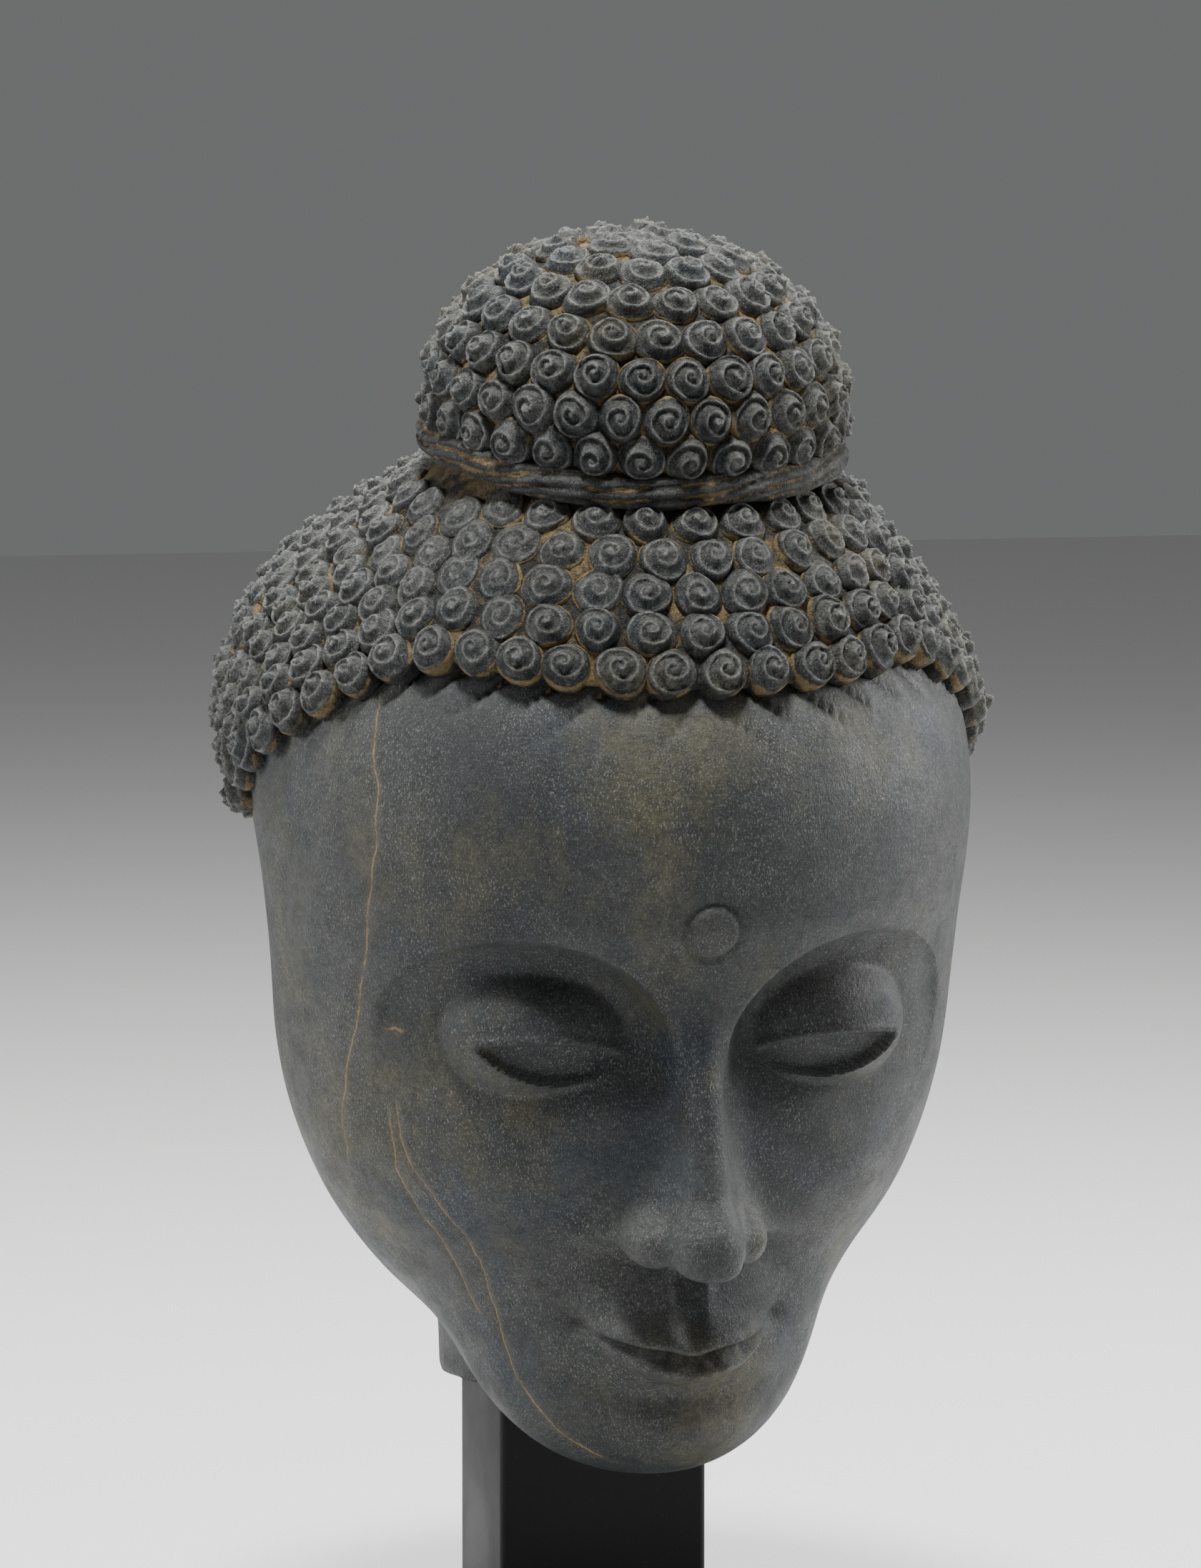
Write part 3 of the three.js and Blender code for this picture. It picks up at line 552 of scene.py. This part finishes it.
def black_paint():
    """Satin black paint on steel: faint orange peel, rubbed a little smoother in patches, with dust in small patches.
    """
    s = Shader("mount_paint")
    peel = s.noise(s.place(), 650.0, 3.0, 0.5)
    rub = s.noise(s.place(), 18.0, 4.0, 0.6)
    pale_patches = s.step(s.noise(s.place(), 900.0, 2.0), 0.66, 0.78, 0.0, 0.30)
    color = s.mix(s.step(rub, 0.35, 0.7), [0.0055, 0.0058, 0.0065], [0.0095, 0.0098, 0.0105])
    color = s.mix(pale_patches, color, [0.060, 0.058, 0.054])
    return s.finish(color, s.step(rub, 0.3, 0.7, 0.50, 0.62), peel, 0.00008, 0.18)


HAIR_STONE = schist(
    "schist_hair", dark=[0.020, 0.023, 0.0245], pale=[0.052, 0.056, 0.054],
    polish=0.06, tooth_depth=0.0011, dirt=0.34, pale_upward=0.42, gritty=0.75,
)
FACE_STONE = schist(
    "schist_face", dark=[0.0165, 0.0195, 0.0212], pale=[0.039, 0.042, 0.040],
    polish=0.13, tooth_depth=0.00035, dirt=0.0, pale_upward=0.15, gritty=0.35, veins=("vein_a", "vein_b", "vein_c", "vein_d"),
)
PAINT = black_paint()


# ---------------------------------------------------------------- the dressed skin and the broken back

# Veins and hair cracks in the stone, as (azimuth in degrees, s) down their length.
VEINS = {
    "vein_a": [(-58.5, 268), (-52.5, 243), (-51.5, 218), (-52, 201), (-54, 188), (-56, 176), (-58, 160), (-59, 138)],
    "vein_b": [(-46.5, 172), (-45.5, 160), (-40, 145), (-35, 128), (-30, 104), (-26, 82), (-18, 71), (-8, 66)],
    "vein_c": [(-48, 168), (-46.5, 150), (-41, 127), (-37, 108), (-32, 92)],
    "vein_d": [(-49.5, 181), (-44.5, 182)],
}


def vein_field(turn, s, path, seed):
    """(signed distance in mm, strength) of a winding vein, measured on the stone laid flat as 110 mm times azimuth
    against s. Strength fades out before both ends."""
    u, v = 110 * turn, s
    line = np.array([(110 * DEG * a, b) for a, b in path], float)
    u = u + 0.9 * np.sin(0.13 * v + seed) + 0.35 * np.sin(0.41 * v + 2 * seed)
    best, signed, along = np.full(u.shape, 1e9), np.zeros(u.shape), np.zeros(u.shape)
    steps = np.linalg.norm(np.diff(line, axis=0), axis=1)
    walked = np.concatenate([[0], np.cumsum(steps)])
    for (a, b), start, length in zip(zip(line[:-1], line[1:]), walked, steps):
        way = (b - a) / length
        t = np.clip((u - a[0]) * way[0] + (v - a[1]) * way[1], 0, length)
        dx, dy = u - a[0] - t * way[0], v - a[1] - t * way[1]
        d = np.hypot(dx, dy)
        side = np.where(dx * way[1] - dy * way[0] > 0, 1, -1)
        nearer = d < best
        best, signed = np.where(nearer, d, best), np.where(nearer, d * side, signed)
        along = np.where(nearer, start + t, along)
    ends = min(8, walked[-1] / 2)
    fade = ramp(0, ends, along) * ramp(0, ends, walked[-1] - along)
    return np.stack([np.clip(signed, -15, 15), fade, 0 * fade], -1)


def nicks(turn, below):
    """Depth of the slanting chisel cuts left under the hairline, one under most curls: leaf shapes that start in the
    hair, lean outwards and taper away."""
    across = 112 * turn - 1.25 * (below - 8) * np.sign(turn)
    place = across / (CURL_PITCH * 0.5)
    which = np.round(place)
    length = 13 + 5 * np.sin(7.7 * which + 1)
    down = np.clip((below - 7) / length, 0, 1)
    leaf = 1.5 * np.sqrt(np.clip(1 - down, 0, 1)) + 0.35
    present = np.sin(3.1 * which + 0.6) > -0.2
    depth = 2.5 * present * (1 - down) ** 0.6 * (below > 0) * ramp(2 * DEG, 6 * DEG, np.abs(turn))
    return depth * np.exp(-((place - which) * CURL_PITCH * 0.5 / leaf) ** 2)


def broken_depth(turn, p):
    """How far the broken stone behind lies under the dressed surface: split layers, deeper where an ear has gone."""
    behind = ramp(FACE_END, FACE_END + 5 * DEG, bend(turn) + 3 * DEG * grain(p, 22, 3.3))
    ear = (1 - ramp(134 * DEG, 150 * DEG, bend(turn))) * ramp(70, 95, p[..., 2])
    lumps = grain(p, 38) + 0.55 * grain(p, 15, 5.1) + 0.30 * grain(p, 7, 9.7)
    split = p[..., 1] * 0.16 + p[..., 0] * 0.05 + 1.6 * grain(p, 30, 1.7)
    ledge = split - np.floor(split)
    return behind * (3.4 + 3.4 * ear + (2.2 + 1.0 * ear) * lumps + 1.7 * ledge ** 3)


def column_gap(azimuth):
    """Degrees between the skin's columns: closest at the eyes, wide behind."""
    away = np.abs(azimuth)
    eyes = swell(away, 0, 28, 0, 14, 1) ** 0.5
    return 0.50 - 0.13 * eyes + 0.7 * ramp(42, 60, away) + 1.4 * ramp(85, 115, away)


def row_gap(s):
    """Gap in s between the skin's rows: closest over the eyes, wide under the chin and under the hair."""
    eyes = ramp(160, 168, s) * ramp(208, 200, s)
    higher = 0.5 * ramp(205, 215, s) + 0.6 * ramp(243, 262, s) + 8 * ramp(296, 320, s)
    return 1.05 + 1.45 * ramp(92, 70, s) - 0.48 * eyes + higher


def with_poles(values):
    """One value for every point of a closed grid: the bottom and top points take their row's first."""
    return np.concatenate([values.reshape(-1, *values.shape[2:]), values[:1, 0], values[-1:, 0]])


def dressed_stone():
    """Face, chin, neck stump and broken back as one closed skin; under the hair it sinks out of sight."""
    turn, s = np.meshgrid(
        spaced(-180, 180, column_gap)[:-1] * DEG, spaced(RAY_FIRST + 1.5, RAY_LAST - 8, row_gap)
    )
    p = surface(skin, turn, s)
    below = first_row_height(turn) - p[..., 2]
    sunk = 7 * ramp(-1, -13, below)
    broken = broken_depth(turn, p)
    behind = ramp(FACE_END, FACE_END + 5 * DEG, bend(turn))
    nick = nicks(turn, below) * (bend(turn) < 75 * DEG)
    out = -sunk - broken - nick
    out += 0.18 * grain(p, 16, 2.2) * (1 - behind)
    veins = {key: vein_field(turn, s, path, i) for i, (key, path) in enumerate(VEINS.items())}
    for vein in veins.values():
        out -= 0.25 * vein[..., 1] * np.exp(-(vein[..., 0] / 0.9) ** 2)
    p = p + rays(turn, s)[1] * out[..., None]
    x, z = np.abs(p[..., 0]), p[..., 2]
    # soil on the dressed stone: painted shade in the nostrils, at the mouth's corners, beside the nose's wings, under
    # the hairline, in the chisel cuts and in part of the groove round the urna, with ochre soil there too; on the
    # broken back it is soil.
    nostril = swell(x, z, 10, 94, 8, 6) * ramp(110, 125, -p[..., 1])
    corner = swell(x, z, MOUTH_HALF, MOUTH_Z + 3, 5, 4) + 0.8 * swell(x, z, 26, 101, 5, 9)
    under_hair = ramp(15, 6, below) * (0.55 + 0.4 * grain(p, 9, 4.4))
    soil = 0.35 * nostril + 0.45 * corner + 0.9 * under_hair + 0.5 * nick + behind * (0.5 + 0.45 * grain(p, 17, 8.8))
    soil += 0.5 * np.exp(-((np.hypot(x, z - URNA_Z) - URNA_RADIUS - 1) / 1.2) ** 2) * (p[..., 0] < 2)
    worn = 0.3 * behind
    points = placed(closed_grid(p, surface(skin, 0.0, RAY_FIRST), surface(skin, 0.0, RAY_LAST, -7.0)))
    seated = (points[:, 1] > SEAT_FRONT / 1000) & (points[:, 2] < SEAT_Z / 1000)
    points[seated, 2] = SEAT_Z / 1000
    quads, fans = wrapped(*turn.shape)
    attributes = {"soil": soil, "worn": worn, "broken": behind, **veins}
    attributes = {key: with_poles(values) for key, values in attributes.items()}
    return add_mesh("dressed_stone", points, quads, fans, "schist", FACE_STONE, "stone_head", **attributes)


# ---------------------------------------------------------------- the hair

def scalp_cap():
    """The stone between the curls, from a rounded edge just under the first row up to the crown, closed inside."""
    turn = np.arange(360) * DEG - np.pi
    ragged = 4 * np.sin(9 * turn) * ramp(95 * DEG, 110 * DEG, bend(turn))
    edge = place_at_height(turn, first_row_height(turn) - 4.5 + ragged)
    rise = np.concatenate([[0, 0, 0.006, 0.014, 0.03], np.linspace(0.05, 1, 70)[:-1]])[:, None]
    out = np.concatenate([[-9, -3.5, -1.2, -0.3, 0], np.zeros(69)])[:, None]
    s = edge + (RAY_LAST - edge) * rise
    p = surface(scalp, turn, s, out)
    p = p + 0.5 * outward(scalp, p) * grain(p, 6, 1.1)[..., None]
    # soil all over the cap: painted shade between the curls, with ochre soil.
    soil = np.broadcast_to(0.72 + 0.5 * grain(p, 22, 7.7), s.shape)
    points = placed(closed_grid(p, (0, 0, 240), surface(scalp, 0.0, RAY_LAST)))
    quads, fans = wrapped(*s.shape)
    soil = np.concatenate([soil.ravel(), [1, 1]])
    return add_mesh("scalp", points, quads, fans, "schist", HAIR_STONE, "stone_head", soil=soil, worn=0 * soil)


def add_curls(name, at, normal, up, radius, height, skirt, worn, rng, rings, spokes):
    """Snail curls, one closed polar grid each. The shell is a cone whose whorls climb a spiral of 2.1 turns: going in,
    each whorl rises steeply, turns over a thin lip and dips to a ledge. A skirt under the rim is sunk in the stone."""
    side = np.cross(up, normal)
    side /= np.linalg.norm(side, axis=-1, keepdims=True)
    up = np.cross(normal, side)
    count = len(at)
    phi = np.arange(spokes) / spokes * 2 * np.pi
    rho = np.concatenate([[1.04, 1.0], np.linspace(0.965, 0.05, rings - 2)])[None, :, None]
    wear = worn[:, None, None]
    winding = 2.1 * (1 - rho) + phi / (2 * np.pi) + rng.uniform(0, 1, (count, 1, 1))
    whorl = winding - np.floor(winding)
    step = ramp(0, 0.50, whorl) - whorl - 0.10 * np.exp(-((whorl - 0.84) / 0.11) ** 2)
    lip = np.exp(-((whorl - 0.56) / 0.085) ** 2)
    inside = ramp(1.0, 0.92, rho) * ramp(0.05, 0.16, rho)
    knob = np.exp(-(rho / 0.13) ** 2)
    cone = np.clip(1 - rho, 0, 1) ** 0.72 * np.clip((1 - rho) / 0.05, 0, 1) ** 0.5
    rise = cone + (0.40 * step + 0.12 * lip) * inside * (1 - 0.7 * wear) + 0.05 * knob * (1 - 0.6 * wear)
    rise = height[:, None, None] * (1 - 0.55 * wear) * rise
    rise = np.where(rho > 1.01, -skirt[:, None, None], rise)
    lobes = rng.uniform(0, 2 * np.pi, (2, count, 1, 1))
    spread = rho * radius[:, None, None] * (1 + 0.045 * np.sin(2 * phi + lobes[0]) + 0.03 * np.sin(3 * phi + lobes[1]))
    round_about = np.cos(phi)[:, None] * side[:, None, None] + np.sin(phi)[:, None] * up[:, None, None]
    grid = at[:, None, None] + normal[:, None, None] * rise[..., None] + spread[..., None] * round_about
    rough = 0.40 * grain(grid, 2.6) + 0.34 * grain(grid, 1.25, 4.4)
    grid = grid + normal[:, None, None] * (rough * (rho < 1.01))[..., None]
    foot = at - normal * skirt[:, None]
    top = grid[:, -1].mean(1) + 0.1 * normal
    points = np.concatenate([grid.reshape(count, -1, 3), foot[:, None], top[:, None]], 1)
    # Ledges and rims take soil: ochre soil and painted shade where the whorls dip and where the curl meets the stone.
    ledge = np.exp(-((whorl - 0.80) / 0.16) ** 2) * inside
    rim = ramp(0.84, 1.0, rho) * (1 - 0.8 * (rho > 1.01))
    soil = 0.34 * ledge + 0.95 * rim + 0.42 * grain(grid, 26, 3.9) + 0.30 * grain(grid, 5, 1.9)
    # Painted highlight on the whorls' lips and the knob, less where rubbed, plus real rubbing and grain; carried in
    # worn.
    shine = (0.95 * lip * inside + 0.7 * knob) * (1 - 0.4 * wear) + 0.05 * wear + 0.35 * grain(grid, 2.0, 6.6)
    quads, fans = wrapped(rho.shape[1], spokes)
    shift = (np.arange(count) * (rho.shape[1] * spokes + 2))[:, None, None]

    def per_point(values):
        flat = np.broadcast_to(values, grid.shape[:3]).reshape(count, -1)
        return np.concatenate([flat, np.full((count, 1), 0.3), flat[:, -1:]], 1).ravel()

    return add_mesh(
        name, placed(points.reshape(-1, 3)), (quads + shift).reshape(-1, 4), (fans + shift).reshape(-1, 3),
        "schist", HAIR_STONE, "stone_head", soil=per_point(soil), worn=per_point(np.clip(shine, 0, 1)),
    )


def worn_patch(turn, z):
    """How rubbed the hair is: most on the right of the crown, over the temple."""
    return 1.15 * swell(turn / DEG, z, -52, 320, 36, 26) + 0.5 * swell(turn / DEG, z, 30, 325, 30, 14)


def skull_hair():
    """Curls of the skull: fine ones that face forward, plainer ones behind."""
    rng = np.random.default_rng(21)
    places = skull_curls()
    turn, s = places[:, 0], places[:, 1]
    turn = turn + rng.normal(0, 0.35, len(turn)) * DEG
    at = surface(scalp, turn, s)
    normal = outward(scalp, at)
    up = surface(scalp, turn, s + 1.0) - at
    lowest = at[:, 2] < first_row_height(turn) + 4
    radius = SKULL_CURL[0] * rng.uniform(0.94, 1.04, len(turn))
    height = SKULL_CURL[1] * rng.uniform(0.88, 1.08, len(turn))
    skirt = np.where(lowest, 6.5, 3.0)
    worn = np.clip(worn_patch(turn, at[:, 2]) + rng.uniform(-0.15, 0.2, len(turn)), 0, 1)
    behind = bend(turn) > 112 * DEG
    for name, part, rings, spokes in (
        ("curls_right", ~behind & (at[:, 0] < 0), 20, 26),
        ("curls_left", ~behind & (at[:, 0] >= 0), 20, 26),
        ("curls_behind", behind, 15, 20),
    ):
        chosen = (values[part] for values in (at, normal, up, radius, height, skirt, worn))
        add_curls(name, *chosen, rng, rings, spokes)


def knot_point(turn, up, out=0.0):
    """Point of the topknot's ellipsoid in direction (turn, up), with out added to its radii."""
    across = np.cos(up)
    way = np.stack(np.broadcast_arrays(np.sin(turn) * across, -np.cos(turn) * across, np.sin(up)), -1)
    return np.array(KNOT_CENTRE) + (np.array(KNOT_RADII) + np.asarray(out)[..., None]) * way


def knot_hair():
    """The topknot's dome, and curls in level rings up it, each ring half a curl on from the one below."""
    turn, up = np.meshgrid(np.arange(180) * 2 * DEG, np.linspace(-40, 86, 40) * DEG)
    p = knot_point(turn, up)
    p = p + 0.5 * grain(p, 6, 1.1)[..., None] * (p - np.array(KNOT_CENTRE)) / 60
    points = placed(closed_grid(p, (0, KNOT_CENTRE[1], BAND_Z - 12), knot_point(0.0, np.pi / 2)))
    quads, fans = wrapped(*turn.shape)
    # soil all over the dome: painted shade between the curls, with ochre soil.
    soil = np.concatenate([(0.85 + 0.5 * grain(p, 22, 7.7)).ravel(), [1, 1]])
    add_mesh("topknot", points, quads, fans, "schist", HAIR_STONE, "stone_head", soil=soil, worn=0 * soil)

    places = []
    for ring in range(KNOT_RINGS):
        up = KNOT_LOWEST + ring * KNOT_STEP
        count = max(round(2 * np.pi * (KNOT_RADII[0] + 4) * np.cos(up) / (CURL_PITCH * 0.96)), 5)
        places += [((i + ring % 2 / 2) / count * 2 * np.pi, up) for i in range(count)]
    turn, up = np.array(places + [(0.0, np.pi / 2)]).T
    rng = np.random.default_rng(33)
    at = knot_point(turn, up)
    normal = (at - np.array(KNOT_CENTRE)) / np.array(KNOT_RADII) ** 2
    normal /= np.linalg.norm(normal, axis=-1, keepdims=True)
    rising = np.stack([-np.sin(turn) * np.sin(up), np.cos(turn) * np.sin(up), np.cos(up)], -1)
    radius = KNOT_CURL[0] * rng.uniform(0.94, 1.04, len(turn))
    height = KNOT_CURL[1] * rng.uniform(0.88, 1.08, len(turn))
    worn = np.clip(0.5 * ramp(50 * DEG, 90 * DEG, up) + rng.uniform(-0.1, 0.2, len(turn)), 0, 1)
    add_curls("topknot_curls", at, normal, rising, radius, height, np.full(len(turn), 3.0), worn, rng, 20, 26)


def hair_band():
    """The twisted band of hair round the topknot's foot: a flattened ring carved with long slanting strands."""
    around, section = np.meshgrid(np.arange(440) / 440 * 2 * np.pi, np.arange(36) / 36 * 2 * np.pi)
    level = np.sin(section)
    wave = 0.25 * np.sin(5 * around + 1) + 0.15 * np.sin(11 * around)
    strand = 1.5 * level - around * 6 / np.pi + wave
    ridge = np.abs(np.sin(np.pi * strand)) ** 0.55
    fine = 0.3 * np.cos(2 * np.pi * (3.6 * level - around * 9 / np.pi + wave))
    r = BAND_RADIUS + BAND_THICK * np.cos(section) + (2.1 * ridge + fine - 1.5) * np.clip(np.cos(section) + 0.4, 0, 1)
    z = BAND_Z - 0.6 + 5.9 * level + 0.8 * np.sin(4 * around) + 0.4 * np.sin(9 * around)
    p = np.stack([r * np.sin(around), KNOT_CENTRE[1] - r * np.cos(around), z], -1)
    p = p + 0.2 * grain(p, 4)[..., None]
    i, j = np.meshgrid(np.arange(36), np.arange(440), indexing="ij")
    a, b = (i + 1) % 36, (j + 1) % 440
    quads = np.stack([i * 440 + j, i * 440 + b, a * 440 + b, a * 440 + j], -1).reshape(-1, 4)
    # Painted shade with ochre soil in the grooves between strands; the ridges are lightened in patches as rubbed stone
    # and painted highlight.
    soil = (0.95 * (1 - ridge) + 0.40 + 0.4 * grain(p, 14, 2.5)).ravel()
    add_mesh("hair_band", placed(p).reshape(-1, 3), quads, np.zeros((0, 3), int), "schist", HAIR_STONE, "stone_head",
             soil=soil, worn=(0.3 * ridge * ramp(-0.6, 0.6, grain(p, 6, 5.2))).ravel())


# ---------------------------------------------------------------- the mount

def painted_block(name, node, round_corner, round_edge):
    """A block over a node's box with rounded upright corners and rolled top and bottom edges: the outline, four arcs,
    is drawn in along a quarter circle at each end."""
    low, high = (np.array(corner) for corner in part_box(node))
    middle, half = (low + high) / 2, (high - low) / 2
    arc = np.linspace(0, np.pi / 2, 9)
    quarter = np.linspace(0, np.pi / 2, 7)
    drawn_in, rolled = round_edge * (1 - np.sin(quarter)), round_edge * (1 - np.cos(quarter))
    cap, height = [0.3 * half[1]], 2 * half[2]
    inset = np.concatenate([cap, drawn_in, drawn_in[::-1], cap])
    level = np.concatenate([[0], rolled, height - rolled[::-1], [height]])
    angle = (arc[None] + np.arange(4)[:, None] * np.pi / 2).ravel()
    sx, sy = np.repeat([1, -1, -1, 1], 9), np.repeat([1, 1, -1, -1], 9)
    corner = np.maximum(round_corner - inset, 0)[:, None]
    x = middle[0] + sx * (half[0] - inset[:, None] - corner) + corner * np.cos(angle)
    y = middle[1] + sy * (half[1] - inset[:, None] - corner) + corner * np.sin(angle)
    z = low[2] + level[:, None] + 0 * x
    grid = np.stack([x, y, z], -1)
    points = closed_grid(grid, (middle[0], middle[1], low[2]), (middle[0], middle[1], high[2]))
    quads, fans = wrapped(*x.shape)
    return add_mesh(name, points, quads, fans, "mount_black", PAINT, node)


# ---------------------------------------------------------------- stage, light and camera

def add_light(name, at, aim, size, power):
    """A square soft light of the given width at a place, turned to its aim."""
    light = bpy.data.lights.new(name, "AREA")
    light.shape, light.size, light.energy = "SQUARE", size, power
    lamp = bpy.data.objects.new(name, light)
    bpy.context.collection.objects.link(lamp)
    turn_to(lamp, at, aim)


def turn_to(thing, at, aim):
    """Puts a light or camera at a place, its -Z axis towards aim."""
    thing.location = at
    thing.rotation_euler = (Vector(aim) - Vector(at)).to_track_quat("-Z", "Y").to_euler()


def studio():
    """Pale floor and surroundings, a broad soft light from above on the viewer's left and softer ones on both sides."""
    x, y = np.meshgrid(np.linspace(-6, 6, 13), np.linspace(-6, 6, 13))
    mesh = bpy.data.meshes.new("floor")
    i, j = np.meshgrid(np.arange(12), np.arange(12), indexing="ij")
    faces = np.stack([i * 13 + j, i * 13 + j + 1, i * 13 + j + 14, i * 13 + j + 13], -1).reshape(-1, 4)
    mesh.from_pydata(np.stack([x, y, 0 * x], -1).reshape(-1, 3).tolist(), [], faces.tolist())
    floor = bpy.data.objects.new("floor", mesh)
    bpy.context.collection.objects.link(floor)
    pale = Shader("floor_paint")
    mesh.materials.append(pale.finish([0.72, 0.72, 0.71], 0.6, pale.noise(pale.place(), 40.0), 0.0002))

    world = bpy.data.worlds.new("studio")
    bpy.context.scene.world = world
    world.use_nodes = True
    world.node_tree.nodes["Background"].inputs["Color"].default_value = (0.86, 0.87, 0.88, 1)
    world.node_tree.nodes["Background"].inputs["Strength"].default_value = 0.18

    centre = (0, 0, 0.34)
    add_light("key", (-0.25, -0.62, 2.2), centre, 0.34, 82)
    add_light("top", (0.15, 0.60, 1.7), centre, 0.5, 38)
    add_light("side_left", (-1.5, 0.55, 0.75), centre, 0.5, 19)
    add_light("side_right", (1.5, 0.10, 0.80), centre, 0.5, 32)


def camera():
    """The view: 15 degrees to the viewer's left of the face's axis and 6 degrees above level, with a long lens."""
    azimuth, elevation, distance, target = -15 * DEG, 6 * DEG, 2.2, (0, 0, 0.3323)
    way = np.array([np.sin(azimuth) * np.cos(elevation), -np.cos(azimuth) * np.cos(elevation), np.sin(elevation)])
    lens = bpy.data.cameras.new("camera")
    lens.lens, lens.sensor_width, lens.clip_end = 144.4, 36, 50
    view = bpy.data.objects.new("camera", lens)
    bpy.context.collection.objects.link(view)
    turn_to(view, tuple(np.array(target) + way * distance), target)
    bpy.context.scene.camera = view


camera()
dressed_stone()
scalp_cap()
skull_hair()
knot_hair()
hair_band()
painted_block("painted_post", "mount_post", 0.0025, 0.0015)
painted_block("painted_foot", "mount_foot", 0.004, 0.0025)
studio()
